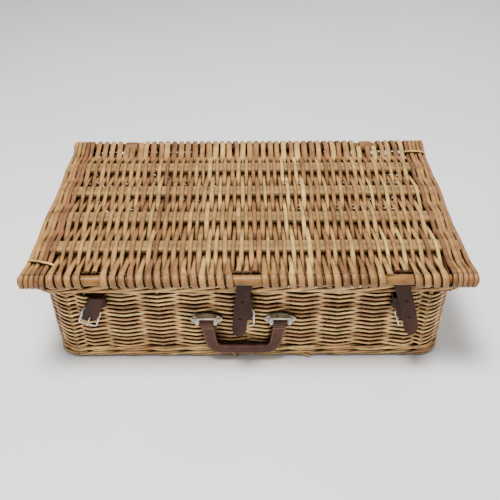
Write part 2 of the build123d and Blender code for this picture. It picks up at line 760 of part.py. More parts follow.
def buckle_strap(sway):
    """The hanging part: one thickness above, folded round the buckle's middle bar below."""
    drop = BUCKLE_STRAP_DROP
    half = STRAP_THICKNESS / 2
    bar_y = BUCKLE_BAR_Y - BUCKLE_HINGE_Y
    bore = BUCKLE_WIRE_DIAMETER / 2 + RUNNING_GAP
    rise = STRAP_WIDTH / 2
    profile = Pos(0, (rise - drop) / 2) * Rectangle(STRAP_THICKNESS, drop + rise)
    profile += Pos(half + STRAP_THICKNESS / 2, -drop + FOLD_LEG_LENGTH / 2) * Rectangle(
        STRAP_THICKNESS, FOLD_LEG_LENGTH
    )
    profile += disc(bar_y, -drop, FOLD_OUTER)
    profile -= disc(bar_y, -drop, bore)
    strap = profile_extruded(profile, 0, STRAP_WIDTH)
    slot_height = 2 * (FOLD_OUTER + PRONG_SLOT_REACH)
    slot = Pos(0, bar_y, -drop) * Box(PRONG_SLOT_WIDTH, slot_height, slot_height)
    return swayed_about_top(strap - slot, sway, STRAP_THICKNESS)


def buckle_frame():
    """A rectangle of round wire with a bar across its middle, which lies at the origin."""
    radius = BUCKLE_WIRE_DIAMETER / 2
    half = BUCKLE_INNER_WIDTH / 2 + radius
    top = BUCKLE_UPPER_REACH
    bottom = -BUCKLE_LOWER_REACH
    width = 2 * half
    height = top - bottom
    outline = RectangleRounded(width, height, BUCKLE_CORNER_RADIUS).wire()
    path = Plane.XZ * Pos(0, (top + bottom) / 2) * outline
    start = Plane(origin=(0, 0, top), x_dir=(0, 1, 0), z_dir=(1, 0, 0))
    section = start * RegularPolygon(radius, WIRE_SIDES)
    frame = sweep(section, path=path)
    bar = Rot(0, 90, 0) * Cylinder(BUCKLE_BAR_SHARE * radius, 2 * half)
    return Rot(-BUCKLE_TILT, 0, 0) * (frame + bar)


def prong():
    """The wire tongue of a buckle: an eye round the middle bar and a finger onto the lower bar."""
    radius = PRONG_DIAMETER / 2
    bore = BUCKLE_WIRE_DIAMETER / 2 + RUNNING_GAP
    outer = bore + PRONG_EYE_WALL
    eye = Rot(0, 90, 0) * (Cylinder(outer, PRONG_DIAMETER) - Cylinder(bore, 2 * PRONG_DIAMETER))
    offset = BUCKLE_WIRE_DIAMETER / 2 + radius + PRONG_REST_GAP
    length = BUCKLE_LOWER_REACH + PRONG_OVERHANG
    finger = Pos(0, -offset, -length / 2) * Cylinder(radius, length)
    return Rot(-BUCKLE_TILT, 0, 0) * (eye + finger)


def handle_outline():
    """The flat shape of the handle seen from the front, hung from the pins at height zero."""
    half = HANDLE_PIN_SPACING / 2
    arm = HANDLE_ARM_WIDTH / 2
    drop = HANDLE_DROP
    outer = [
        (-half - arm, 0),
        (-half - arm + HANDLE_TAPER, -drop),
        (half + arm - HANDLE_TAPER, -drop),
        (half + arm, 0),
    ]
    inner_top = -drop + HANDLE_GRIP_HEIGHT
    inner = [
        (-half + arm, 0),
        (-half + arm + HANDLE_TAPER, inner_top),
        (half - arm - HANDLE_TAPER, inner_top),
        (half - arm, 0),
    ]
    shape = Polygon(*outer, align=None)
    shape = fillet(shape.vertices().group_by(Axis.Y)[0], HANDLE_OUTER_CORNER)
    window = Polygon(*inner, align=None)
    window = fillet(window.vertices().group_by(Axis.Y)[0], HANDLE_INNER_CORNER)
    return shape - window


def handle_grip():
    """Layered leather in the shape of a D, each arm closed in a loop round its pin."""
    flat = extrude(Plane.XZ * handle_outline(), amount=HANDLE_THICKNESS / 2, both=True)
    bore = HANDLE_PIN_DIAMETER / 2 + RUNNING_GAP
    for side in (-1, 1):
        x = side * HANDLE_PIN_SPACING / 2
        flat += Pos(x, 0, 0) * Rot(0, 90, 0) * Cylinder(bore + HANDLE_LOOP_WALL, HANDLE_ARM_WIDTH)
        flat -= Pos(x, 0, 0) * Rot(0, 90, 0) * Cylinder(bore, HANDLE_ARM_WIDTH + 2 * CUT_PAST_FACE)
    return Pos(HANDLE_X, PIN_Y, HANDLE_PIN_Z) * flat


def lug_spacing():
    return HANDLE_ARM_WIDTH + 2 * LUG_SIDE_GAP + LUG_THICKNESS


def handle_pin(side):
    x = HANDLE_X + side * HANDLE_PIN_SPACING / 2
    length = lug_spacing() + LUG_THICKNESS + 2 * PIN_END_OVERHANG
    return bar_along_x(length, HANDLE_PIN_DIAMETER, x, PIN_Y, HANDLE_PIN_Z)


def handle_plate(side):
    """A cast plate in the shape of a pointed oval, with two lugs for the pin and a bridge over them."""
    back = -(FRONT_FACE + PLATE_STANDOFF)
    half_length = PLATE_LENGTH / 2
    half_height = PLATE_HEIGHT / 2
    top_arc = ThreePointArc((-half_length, 0), (0, half_height), (half_length, 0))
    bottom_arc = ThreePointArc((half_length, 0), (0, -half_height), (-half_length, 0))
    oval = make_face([top_arc, bottom_arc])
    oval = fillet(oval.vertices(), PLATE_TIP_ROUNDING)
    plate = Pos(0, back, 0) * extrude(Plane.XZ * oval, amount=PLATE_THICKNESS)
    pin_out = PIN_Y - back
    root = LUG_ROOT - PLATE_THICKNESS
    shoulder = pin_out - LUG_NOSE_RADIUS * LUG_SHOULDER_SHARE
    nose = pin_out - LUG_NOSE_RADIUS
    lug_points = [
        (root, LUG_BRIDGE_RISE),
        (shoulder, LUG_BRIDGE_RISE),
        (nose, LUG_NOSE_FLAT),
        (nose, -LUG_NOSE_FLAT),
        (pin_out + LUG_NOSE_RADIUS * LUG_CHIN_SHARE, -LUG_NOSE_RADIUS - LUG_CHIN_DROP),
        (root, -LUG_NOSE_RADIUS),
    ]
    profile = Pos(back, 0) * Polygon(*lug_points, align=None)
    for end in (-1, 1):
        plate += profile_extruded(profile, end * lug_spacing() / 2, LUG_THICKNESS)
    bridge_points = [
        (root, LUG_BRIDGE_RISE),
        (shoulder, LUG_BRIDGE_RISE),
        (shoulder, LUG_BRIDGE_RISE - LUG_BRIDGE_HEIGHT),
        (root, LUG_BRIDGE_RISE - LUG_BRIDGE_HEIGHT),
    ]
    bridge = Pos(back, 0) * Polygon(*bridge_points, align=None)
    plate += profile_extruded(bridge, 0, lug_spacing())
    plate -= bar_along_x(PLATE_LENGTH, HANDLE_PIN_DIAMETER + FIT_GAP, 0, PIN_Y, 0)
    x = HANDLE_X + side * HANDLE_PIN_SPACING / 2
    plate = Pos(x, 0, HANDLE_PIN_Z) * plate
    for place in screw_places():
        plate -= screw_shank(place, SCREW_SHANK_DIAMETER + FIT_GAP)
    return plate


def handle_screws():
    screws = []
    face = -(FRONT_FACE + PLATE_STANDOFF + PLATE_THICKNESS)
    for x in screw_places():
        head = Rot(90, 0, 0) * Cylinder(
            SCREW_HEAD_DIAMETER / 2, SCREW_HEAD_HEIGHT, align=(Align.CENTER, Align.CENTER, Align.MIN)
        )
        head = chamfer(head.edges().sort_by(Axis.Y)[0], SCREW_HEAD_CHAMFER)
        screws.append(Pos(x, face, HANDLE_PIN_Z) * head + screw_shank(x, SCREW_SHANK_DIAMETER))
    return screws


def hinge_slot_z():
    return SIDING_TOP - HINGE_SLOT_COVER - STRAP_THICKNESS


def hinge_strap(side):
    """A leather strap round the rear stick, led down behind the border and in through the siding."""
    x = side * HINGE_OFFSET
    bore = STICK_RADIUS + RUNNING_GAP
    outer = bore + STRAP_THICKNESS
    doubled = 2 * STRAP_THICKNESS
    leg_inner = SIDING_HALF_DEPTH + BORDER_OUTSET + BORDER_RADIUS + 2 * LEATHER_GAP
    slot = hinge_slot_z()
    leg_top = LID_HEIGHT - bore / 2
    leg_bottom = slot - doubled / 2
    tail_inner = SIDING_HALF_DEPTH - SIDING_HALF - 2 * LEATHER_GAP - doubled
    profile = disc(STICK_Y, LID_HEIGHT, outer)
    leg_middle = (leg_inner + doubled / 2, (leg_top + leg_bottom) / 2)
    profile += Pos(*leg_middle) * Rectangle(doubled, leg_top - leg_bottom)
    profile += Pos((tail_inner + leg_inner + doubled) / 2, slot) * Rectangle(
        leg_inner + doubled - tail_inner, doubled
    )
    tail_middle = (tail_inner + doubled / 2, slot - HINGE_TAIL_LENGTH / 2)
    profile += Pos(*tail_middle) * Rectangle(doubled, HINGE_TAIL_LENGTH)
    profile -= disc(STICK_Y, LID_HEIGHT, bore)
    return profile_extruded(profile, x, STRAP_WIDTH)


def build_body():
    save("base_weave", [base_weave()])
    save("base_inner_sticks", base_inner_sticks())
    save("base_outer_sticks", base_outer_sticks())
    save("bottom_waling", [bottom_waling()])
    save("front_siding", [front_siding()])
    save("rear_siding", [rear_siding()])
    stake_top = SIDING_TOP
    foot = BASE_STICK_COVER
    for side, name in ((-1, "front"), (1, "rear")):
        save(f"{name}_stakes", long_side_uprights(side, STAKE_DIAMETER, foot, stake_top))
        save(f"{name}_border", [border_straight(0, side)])
    for side, name in ((-1, "left"), (1, "right")):
        save(f"{name}_siding", [end_siding(side)])
        save(f"{name}_stakes", short_side_uprights(side, STAKE_DIAMETER, foot, stake_top))
        save(f"{name}_border", [border_straight(side, 0)])
        for depth, depth_name in ((-1, "front"), (1, "rear")):
            save(f"{depth_name}_{name}_corner_siding", [corner_siding(side, depth)])
            save(f"{depth_name}_{name}_corner_border", [border_corner(side, depth)])
    save("corner_posts", corner_posts())


def build_lid():
    save("lid_front_stick", [lid_stick(-1)])
    save("lid_rear_stick", [lid_stick(1)])
    for index, y in enumerate(band_rows()):
        save(f"lid_cross_sticks_{index + 1}", lid_band(y))
    save("lid_weave", lid_passes())
    save("lid_side_rods", lid_side_rods(-1) + lid_side_rods(1))
    save("lid_front_wraps", lid_wraps(-1, front_gap_places(), TONGUE_GAP_WIDTH))
    save("lid_rear_wraps", lid_wraps(1, rear_gap_places(), HINGE_GAP_WIDTH))
    save("lid_anchor_rods", [anchor_rod(x) for x in front_gap_places()])
    front_tie = corner_tie(-1, FRONT_TIE_NEAR_END, FRONT_TIE_FAR_END)
    rear_tie = corner_tie(1, REAR_TIE_NEAR_END, REAR_TIE_FAR_END)
    save("lid_corner_ties", [front_tie, rear_tie])


def build_straps():
    for name, x, sway in tongue_places():
        save(f"{name}_tongue_loop", [tongue_loop(x)])
        save(f"{name}_tongue", [tongue(x, sway)])
    for name, x, sway in buckle_strap_places():
        save(f"{name}_strap_loop", [strap_loop(x)])
        save(f"{name}_buckle_strap", [hung_on_front(x, buckle_strap(sway))])
        save(f"{name}_buckle_frame", [hung_on_front(x, at_buckle_bar(sway, buckle_frame()))])
        save(f"{name}_buckle_prong", [hung_on_front(x, at_buckle_bar(sway, prong()))])
    for side, name in ((-1, "left"), (1, "right")):
        save(f"{name}_hinge_strap", [hinge_strap(side)])


def build_handle():
    save("handle_grip", [handle_grip()])
    save("handle_screws", handle_screws())
    for side, name in ((-1, "left"), (1, "right")):
        save(f"{name}_handle_plate", [handle_plate(side)])
    save("handle_pins", [handle_pin(side) for side in (-1, 1)])


def main():
    os.makedirs("parts", exist_ok=True)
    build_body()
    build_lid()
    build_straps()
    build_handle()


main()
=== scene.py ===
import math
import random

import bpy
import numpy as np
from mathutils import Euler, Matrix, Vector


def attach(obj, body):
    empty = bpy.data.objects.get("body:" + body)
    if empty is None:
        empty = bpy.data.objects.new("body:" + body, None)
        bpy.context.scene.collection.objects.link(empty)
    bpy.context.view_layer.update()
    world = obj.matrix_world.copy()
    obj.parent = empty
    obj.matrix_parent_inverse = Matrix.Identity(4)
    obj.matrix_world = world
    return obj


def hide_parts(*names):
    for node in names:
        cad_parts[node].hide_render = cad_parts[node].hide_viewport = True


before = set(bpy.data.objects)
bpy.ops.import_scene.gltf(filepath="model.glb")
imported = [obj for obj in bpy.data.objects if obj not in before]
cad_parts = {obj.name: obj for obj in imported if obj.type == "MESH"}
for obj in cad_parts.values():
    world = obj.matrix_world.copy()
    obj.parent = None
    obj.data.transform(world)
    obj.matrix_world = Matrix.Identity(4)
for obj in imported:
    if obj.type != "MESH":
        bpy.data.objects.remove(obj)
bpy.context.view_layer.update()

random.seed(41)

# Sizes in millimetres, the same as the hamper's own
MM = 0.001
HALF_X = 305.0
HALF_Y = 166.0
CORNER = 30.0
SPAN_X = HALF_X - CORNER
SPAN_Y = HALF_Y - CORNER
SIDING_BOTTOM = 24.0
SIDING_TOP = 140.0
WALL_HALF_THICKNESS = 5.5
LID_Z = 182.0
LID_DEPTH = 384.0
STICK_Y = LID_DEPTH / 2
STICK_RADIUS = 8.0
STICK_HALF_LENGTH = 330.0
BAND_HALF_LENGTH = 325.5
FRONT_TIE = (
    (326, 151, -6), (324.5, 152, 4.5), (312, 156, 7.2),
    (297, 161.5, 8.6), (284, 166.5, 7.6), (281, 167.5, -4),
)
REAR_TIE = (
    (326, 159, -6), (324, 159, 5.2), (312, 160, 7.6),
    (299, 161, 7.4), (289, 162, 5.6), (286, 162, -4),
)
BAND_PITCH = LID_DEPTH / 5
BAND_YS = [-1.5 * BAND_PITCH, -0.5 * BAND_PITCH, 0.5 * BAND_PITCH, 1.5 * BAND_PITCH]
BAND_RADIUS = 5.5
BAND_SPACING = 12.0
PASS_PITCH = 6.4
WRAP_COUNT = 45
WRAP_REACH = 2.1
WRAP_HALF_WIDTH = 4.75
WRAP_SLANT = 1.9
WRAP_SHADE = 0.82
WRAP_HALF_THICKNESS = 2.05
LID_ROD_HALF_WIDTH = 3.6
LID_ROD_HALF_THICKNESS = 2.4
FRONT_MERGE = 24.0
REAR_MERGE = 10.0
OPEN_FRONT_ENDS = (-183.5, -171.0)
OPEN_REAR_END = 178.0
WRAP_CLEARANCE = 9.6
ROD_CLEARANCE = 5.5
SIDE_ROD_SHIFT = 0.8
SIDE_ROD_PITCH = 7.3
SIDE_ROD_COUNT = 5
SIDE_ROD_INSET = 3.0
SIDE_ROD_SINKS = (2.8, 1.4, 0.4, 0.2, 0.0)
SIDE_ROD_SAG = 3.0
SIDE_ROD_HALF_WIDTH = 3.75
SIDE_ROD_HALF_THICKNESS = 2.6
SIDE_WRAP_HALF_WIDTH = 3.55
HINGE_OFFSET = 220.0
FRONT_GAPS = [(-224.0, 24.0), (-5.0, 30.0), (222.0, 30.0)]
REAR_GAPS = [(-HINGE_OFFSET, 28.0), (HINGE_OFFSET, 28.0)]
BORDER_Z = 155.5
BORDER_OUTSET = 2.0
BORDER_CORNER = 11.5
BORDER_STRANDS = 36
BORDER_STRAND_SPAN = 8.0
BORDER_ROD_RADIUS = 3.6
BORDER_RING = 11.0
CORE_STRANDS = 6
CORE_RING = 4.4
CORE_ROD_RADIUS = 3.0
LOW_ROD_OUTSETS = (-4.5, 0.5)
LOW_ROD_DROP = 11.6
LONG_STAKES = [27.5 * k for k in range(-9, 10, 2)]
SHORT_STAKES = [-102.0, -34.0, 34.0, 102.0]
REAR_STAKE_SPREAD = 6.2
STAKE_ENDS = (2.6, 139.8)
POST_RADIUS = 4.6
WALING_LEVELS = (6.3, 17.6)
WALING_RADIUS = 2.85
WALING_OUTSETS = (-3.2, 2.5, 3.0)
WALING_RISES = (0.4, -3.0, 2.9)
WALING_SHADES = (0.5, 0.85, 0.25)
BROKEN_ENDS = ((-29.0, 9.0), (84.0, 15.0))
FLOOR_STICK_ROWS = 7
FLOOR_STICK_INSET = 12.0
INNER_STICK = (4.4, 6.9)
OUTER_STICK = (6.4, 8.9)
FLOOR_ROD_PITCH = 6.15
FLOOR_ROD_COUNT = 97
FLOOR_ROD_HALF_THICKNESS = 1.15
FLOOR_ROD_END_Z = 3.6
FIRST_ROW = 2.2
ROW_PITCH = 4.26
ROW_COUNT = 27
ROW_SWING = 4.5
ROD_RADIUS = 2.3

# Straps, buckles and handle
FRONT_FACE = 172.3
STRAP_HALF_WIDTH = 11.0
TONGUE_HALF_THICKNESS = 1.45
TONGUE_LENGTH = 92.0
TONGUE_TIP = 15.0
TONGUE_LEAN = 8.6
TONGUE_HINGE_Y = -190.0
TONGUE_HINGE_Z = 170.4
TONGUE_HOLES = (29.0, 59.0)
HOLE_RADIUS = 1.9
TONGUES = (("centre_tongue", -5.0, -6.0), ("right_tongue", 222.0, 15.0))
BUCKLES = (("left", -227.0, -22.0), ("centre", -5.0, 0.0), ("right", 227.0, 18.0))
BUCKLE_HINGE_Y = -181.1
BUCKLE_TOP_Z = 136.8
BUCKLE_DROP = 43.0
BUCKLE_BAR_OUT = 2.5
BUCKLE_TILT = 17.0
FOLD_LEG = 17.0
HANDLE_X = -8.0
HANDLE_PIN_Z = 87.0
PIN_Y = -180.3
HANDLE_PIN_SPACING = 114.0
PIN_XS = [HANDLE_X - HANDLE_PIN_SPACING / 2, HANDLE_X + HANDLE_PIN_SPACING / 2]
HANDLE_ARM_HALF = 10.5
HANDLE_GRIP_HALF = 9.25
HANDLE_DROP = 68.0
HANDLE_TAPER = 9.0
STITCH_PITCH = 4.4
STITCH_LENGTH = 3.2
SCREW_SPACING = 40.0
PLATE_STANDOFF = 0.3
PLATE_THICKNESS = 2.0


# Building meshes from rods

def smooth_faces(mesh, angle):
    """Smooth shading that stops at edges sharper than an angle in degrees."""
    mesh.polygons.foreach_set("use_smooth", np.ones(len(mesh.polygons), bool))
    mesh.set_sharp_from_angle(angle=math.radians(angle))


def random_shade(middle, spread):
    """A rod's shade, from 0 to 1."""
    return min(1.0, max(0.0, random.gauss(middle, spread)))


class Rods:
    """Collects rods of oval section into one mesh, with a shade and a place along each rod."""

    def __init__(self, sides=8):
        self.sides = sides
        self.vertices = []
        self.faces = []
        self.shade = []
        self.along = []
        self.count = 0

    def add(self, points, across, thick, shade, up=(0, 0, 1), start=0.0, square=2.0):
        """One rod through points in mm. across and thick are its half sizes; up is its thick way.

        A square of 2 gives an oval section, and more gives one with flatter faces.
        """
        p = np.asarray(points, float)
        n = len(p)
        across = np.broadcast_to(across, n)[:, None, None]
        thick = np.broadcast_to(thick, n)[:, None, None]
        tangent = np.gradient(p, axis=0)
        tangent /= np.linalg.norm(tangent, axis=1)[:, None] + 1e-9
        side = np.cross(tangent, np.broadcast_to(up, (n, 3)))
        side /= np.linalg.norm(side, axis=1)[:, None] + 1e-9
        normal = np.cross(side, tangent)
        angle = np.arange(self.sides) * 2 * math.pi / self.sides
        wide = np.sign(np.cos(angle)) * np.abs(np.cos(angle)) ** (2 / square)
        deep = np.sign(np.sin(angle)) * np.abs(np.sin(angle)) ** (2 / square)
        ring = (
            p[:, None, :]
            + side[:, None, :] * (wide[None, :, None] * across)
            + normal[:, None, :] * (deep[None, :, None] * thick)
        )
        base = self.count
        self.vertices.append(ring.reshape(-1, 3))
        length = np.concatenate([[0], np.cumsum(np.linalg.norm(np.diff(p, axis=0), axis=1))]) + start
        self.along.append(np.repeat(length, self.sides))
        self.shade.append(np.full(n * self.sides, shade))
        row = np.arange(n - 1)[:, None] * self.sides + base
        j = np.arange(self.sides)[None, :]
        k = (j + 1) % self.sides
        quads = np.stack([row + j, row + k, row + k + self.sides, row + j + self.sides], axis=-1)
        self.faces += quads.reshape(-1, 4).tolist()
        self.faces.append([base + i for i in reversed(range(self.sides))])
        last = base + (n - 1) * self.sides
        self.faces.append([last + i for i in range(self.sides)])
        self.count += n * self.sides

    def build(self, name, material, body, nodes, slot_name):
        mesh = bpy.data.meshes.new(name)
        points = np.concatenate(self.vertices) * MM
        mesh.from_pydata(points.tolist(), [], self.faces)
        for label, values in (("shade", self.shade), ("along", self.along)):
            attribute = mesh.attributes.new(label, "FLOAT", "POINT")
            attribute.data.foreach_set("value", np.concatenate(values).astype(np.float32))
        mesh.validate()
        smooth_faces(mesh, 50)
        obj = bpy.data.objects.new(name, mesh)
        bpy.context.scene.collection.objects.link(obj)
        mesh.materials.append(material)
        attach(obj, body)
        if nodes:
            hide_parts(*nodes)
        return obj


# Materials

def new_material(name):
    material = bpy.data.materials.new(name)
    material.use_nodes = True
    tree = material.node_tree
    return material, tree, tree.nodes["Principled BSDF"]


def link(tree, source, output, target, socket):
    tree.links.new(source.outputs[output], target.inputs[socket])


def add_node(tree, kind, *inputs):
    """A shader node with some of its inputs set, each given as a name and a value."""
    node = tree.nodes.new(kind)
    for name, value in inputs:
        node.inputs[name].default_value = value
    return node


def attribute_node(tree, name):
    node = add_node(tree, "ShaderNodeAttribute")
    node.attribute_name = name
    return node


def noise(tree, place, output, scale, detail):
    """Cloudy variation over a place."""
    node = add_node(tree, "ShaderNodeTexNoise", ("Scale", scale), ("Detail", detail))
    link(tree, place, output, node, "Vector")
    return node


def colours(tree, source, stops):
    """Colours taken from a row of stops by a measure from 0 to 1."""
    node = add_node(tree, "ShaderNodeValToRGB")
    elements = node.color_ramp.elements
    while len(elements) < len(stops):
        elements.new(0.5)
    for element, (position, colour) in zip(elements, stops):
        element.position = position
        element.color = (*colour, 1)
    link(tree, source, "Fac", node, "Fac")
    return node


def ranged(tree, source, output, low, high, from_low=0.0, from_high=1.0):
    """A measure brought from one range into another."""
    limits = (("From Min", from_low), ("From Max", from_high), ("To Min", low), ("To Max", high))
    node = add_node(tree, "ShaderNodeMapRange", *limits)
    link(tree, source, output, node, "Value")
    return node


def multiplied(tree, source, output, factor, added=None):
    """A measure times a factor, with another measure added where one is given."""
    node = add_node(tree, "ShaderNodeMath", (1, factor))
    node.operation = "MULTIPLY_ADD" if added else "MULTIPLY"
    link(tree, source, output, node, 0)
    if added:
        link(tree, added, "Fac", node, 2)
    return node


def scaled(tree, source, output, factor):
    """A colour made lighter or darker by a measure."""
    node = add_node(tree, "ShaderNodeVectorMath")
    node.operation = "SCALE"
    link(tree, source, output, node, 0)
    link(tree, factor, 0, node, "Scale")
    return node


def relief(tree, shader, source, output, strength, distance):
    """Fine relief on a material's surface."""
    node = add_node(tree, "ShaderNodeBump", ("Strength", strength), ("Distance", distance))
    link(tree, source, output, node, "Height")
    link(tree, node, 0, shader, "Normal")


def rod_material(name, stops, roughness, streak=0.5, knots=0.35, open_from=0.38, dark=0.02):
    """Willow rod: its shade from the rod, streaks along it, dark leaf scars, painted shade in its crevices
    and a soft sheen.
    """
    material, tree, shader = new_material(name)
    shade = attribute_node(tree, "shade")
    along = attribute_node(tree, "along")
    place = add_node(tree, "ShaderNodeTexCoord")
    cloud = noise(tree, place, "Object", 55, 4)
    fine = noise(tree, place, "Object", 620, 3)
    mixed = multiplied(tree, fine, "Fac", 0.55, cloud)
    level = ranged(tree, mixed, 0, 1 - streak, 1 + streak * 0.6, 0.55, 1.0)
    streaked = scaled(tree, colours(tree, shade, stops), "Color", level)

    scar_place = add_node(tree, "ShaderNodeCombineXYZ")
    link(tree, along, "Fac", scar_place, 0)
    link(tree, multiplied(tree, shade, "Fac", 91.7), 0, scar_place, 1)
    scars = noise(tree, scar_place, 0, 0.16, 2)
    scarred = add_node(tree, "ShaderNodeMix")
    scarred.data_type = "RGBA"
    scarred.inputs[7].default_value = (0.09, 0.045, 0.025, 1)
    link(tree, ranged(tree, scars, "Fac", 0, knots, 0.66, 0.74), 0, scarred, 0)
    link(tree, streaked, 0, scarred, 6)

    # Painted shade: ambient occlusion darkens the base colour in crevices and between rods, makes it a
    # little lighter where open, and dims the sheen in the crevices
    crevice_shade = add_node(tree, "ShaderNodeAmbientOcclusion", ("Distance", 0.016))
    crevice_shade.samples = 8
    depth = ranged(tree, crevice_shade, "AO", dark, 1.06, open_from, 0.86)
    link(tree, scaled(tree, scarred, 2, depth), 0, shader, "Base Color")
    link(tree, ranged(tree, cloud, "Fac", roughness - 0.1, roughness + 0.14), 0, shader, "Roughness")
    link(tree, multiplied(tree, depth, 0, 0.34), 0, shader, "Specular IOR Level")
    relief(tree, shader, mixed, 0, 0.25, 0.0006)
    return material


def leather_material(name, dark, light, roughness):
    """Leather: clouded colour, a fine grain and an uneven polish."""
    material, tree, shader = new_material(name)
    place = add_node(tree, "ShaderNodeTexCoord")
    cloud = noise(tree, place, "Object", 38, 6)
    link(tree, colours(tree, cloud, [(0.32, dark), (0.7, light)]), "Color", shader, "Base Color")
    cells = add_node(tree, "ShaderNodeTexVoronoi", ("Scale", 420))
    cells.feature = "DISTANCE_TO_EDGE"
    link(tree, place, "Object", cells, "Vector")
    relief(tree, shader, multiplied(tree, cells, "Distance", 0.8, cloud), 0, 0.35, 0.0005)
    link(tree, ranged(tree, cloud, "Fac", roughness - 0.12, roughness + 0.15), 0, shader, "Roughness")
    shader.inputs["Specular IOR Level"].default_value = 0.22
    return material


def metal_material(name, bright, tarnished, roughness, amount=0.5):
    """Plated metal, tarnished in patches."""
    material, tree, shader = new_material(name)
    cloud = noise(tree, add_node(tree, "ShaderNodeTexCoord"), "Object", 140, 6)
    stops = [(0.5 - 0.3 * amount, tarnished), (0.5 + 0.1 * amount, bright)]
    link(tree, colours(tree, cloud, stops), "Color", shader, "Base Color")
    shader.inputs["Metallic"].default_value = 0.92
    link(tree, ranged(tree, cloud, "Fac", roughness + 0.22, roughness - 0.05), 0, shader, "Roughness")
    relief(tree, shader, cloud, "Fac", 0.15, 0.0003)
    return material


WEAVE = rod_material(
    "willow weave",
    [
        (0.0, (0.287, 0.122, 0.0446)),
        (0.2, (0.455, 0.226, 0.0828)),
        (0.45, (0.683, 0.383, 0.147)),
        (0.7, (0.863, 0.53, 0.211)),
        (0.85, (0.731, 0.483, 0.162)),
        (1.0, (1.03, 0.718, 0.332)),
    ],
    0.38,
)
LID_WEAVE = rod_material(
    "lid willow",
    [
        (0.0, (0.17, 0.072, 0.026)),
        (0.2, (0.24, 0.108, 0.036)),
        (0.5, (0.34, 0.172, 0.055)),
        (0.75, (0.44, 0.246, 0.08)),
        (1.0, (0.58, 0.36, 0.125)),
    ],
    0.43,
)
BORDER = rod_material(
    "border willow",
    [(0.0, (0.308, 0.134, 0.044)), (0.5, (0.605, 0.325, 0.11)), (1.0, (0.858, 0.56, 0.231))],
    0.34,
)
# Deep painted shade on the stick where the wraps cover it
STICK = rod_material(
    "stick willow",
    [(0.0, (0.167, 0.068, 0.0142)), (0.5, (0.242, 0.105, 0.0222)), (1.0, (0.317, 0.16, 0.0385))],
    0.42,
    open_from=0.58,
    dark=0.01,
)
# Only faint painted shade on the bands
BAND = rod_material(
    "peeled willow band",
    [(0.0, (0.223, 0.122, 0.0378)), (0.5, (0.28, 0.162, 0.0523)), (1.0, (0.336, 0.209, 0.0722))],
    0.5,
    streak=0.35,
    knots=0.25,
    open_from=0.1,
    dark=0.12,
)
STAKE = rod_material(
    "stake willow",
    [(0.0, (0.2, 0.12, 0.035)), (0.5, (0.3, 0.19, 0.05)), (1.0, (0.42, 0.27, 0.08))],
    0.5,
)
STRAP = leather_material("strap leather", (0.021, 0.0066, 0.0034), (0.06, 0.02, 0.0105), 0.56)
GRIP = leather_material("handle leather", (0.04, 0.0125, 0.0072), (0.1, 0.033, 0.02), 0.5)
HINGE = leather_material("tan hinge leather", (0.16, 0.07, 0.024), (0.3, 0.145, 0.05), 0.5)
THREAD = leather_material("waxed thread", (0.2, 0.11, 0.06), (0.36, 0.22, 0.13), 0.6)
PLATE = metal_material("nickel plate", (0.56, 0.54, 0.46), (0.34, 0.31, 0.25), 0.46)
FIXING = metal_material("nickel fixing", (0.5, 0.48, 0.41), (0.22, 0.19, 0.14), 0.38)
WIRE = metal_material("bright wire", (0.86, 0.85, 0.81), (0.55, 0.52, 0.45), 0.2, 0.3)


# Rounded-rectangle routes round the hamper

class Loop:
    """A closed level route: along the front to the right, up the right side, and so on round."""

    def __init__(self, half_x, half_y, corner):
        self.corner = corner
        self.span_x = half_x - corner
        self.span_y = half_y - corner
        self.arc = corner * math.pi / 2
        self.sections = []
        runs = [
            ("front", 2 * self.span_x),
            ("front_right_corner", self.arc),
            ("right", 2 * self.span_y),
            ("rear_right_corner", self.arc),
            ("rear", 2 * self.span_x),
            ("rear_left_corner", self.arc),
            ("left", 2 * self.span_y),
            ("front_left_corner", self.arc),
        ]
        at = 0.0
        for name, length in runs:
            self.sections.append((name, at, at + length))
            at += length
        self.length = at

    def at(self, s):
        """Place and outward direction at distance s from the left end of the front."""
        s = s % self.length
        for name, start, end in self.sections:
            if s <= end:
                break
        t = s - start
        if name == "front":
            return -self.span_x + t, -(self.span_y + self.corner), 0.0, -1.0
        if name == "right":
            return self.span_x + self.corner, -self.span_y + t, 1.0, 0.0
        if name == "rear":
            return self.span_x - t, self.span_y + self.corner, 0.0, 1.0
        if name == "left":
            return -(self.span_x + self.corner), self.span_y - t, -1.0, 0.0
        centres = {
            "front_right_corner": (self.span_x, -self.span_y, -90),
            "rear_right_corner": (self.span_x, self.span_y, 0),
            "rear_left_corner": (-self.span_x, self.span_y, 90),
            "front_left_corner": (-self.span_x, -self.span_y, 180),
        }
        cx, cy, first = centres[name]
        angle = math.radians(first) + t / self.corner
        nx, ny = math.cos(angle), math.sin(angle)
        return cx + self.corner * nx, cy + self.corner * ny, nx, ny


WALL = Loop(HALF_X, HALF_Y, CORNER)


def upright_stations():
    """Distances round the wall at which an upright stands, posts included."""
    stations = []
    for name, start, end in WALL.sections:
        if not name.endswith("corner"):
            spots = LONG_STAKES if name in ("front", "rear") else SHORT_STAKES
            stations += [start, end] + [(start + end) / 2 + spot for spot in spots]
    return sorted({round(s % WALL.length, 3) for s in stations})


STATIONS = upright_stations()
# How sharply the rods bend at each upright
SHARPNESS = [random.uniform(0.25, 0.9) for _ in STATIONS]


def beside_route(places, out, heights):
    """Points that stand out from places on a loop, at given heights."""
    xs = places[:, 0] + places[:, 2] * out
    ys = places[:, 1] + places[:, 3] * out
    return np.stack([xs, ys, np.zeros(len(places)) + heights], axis=1)


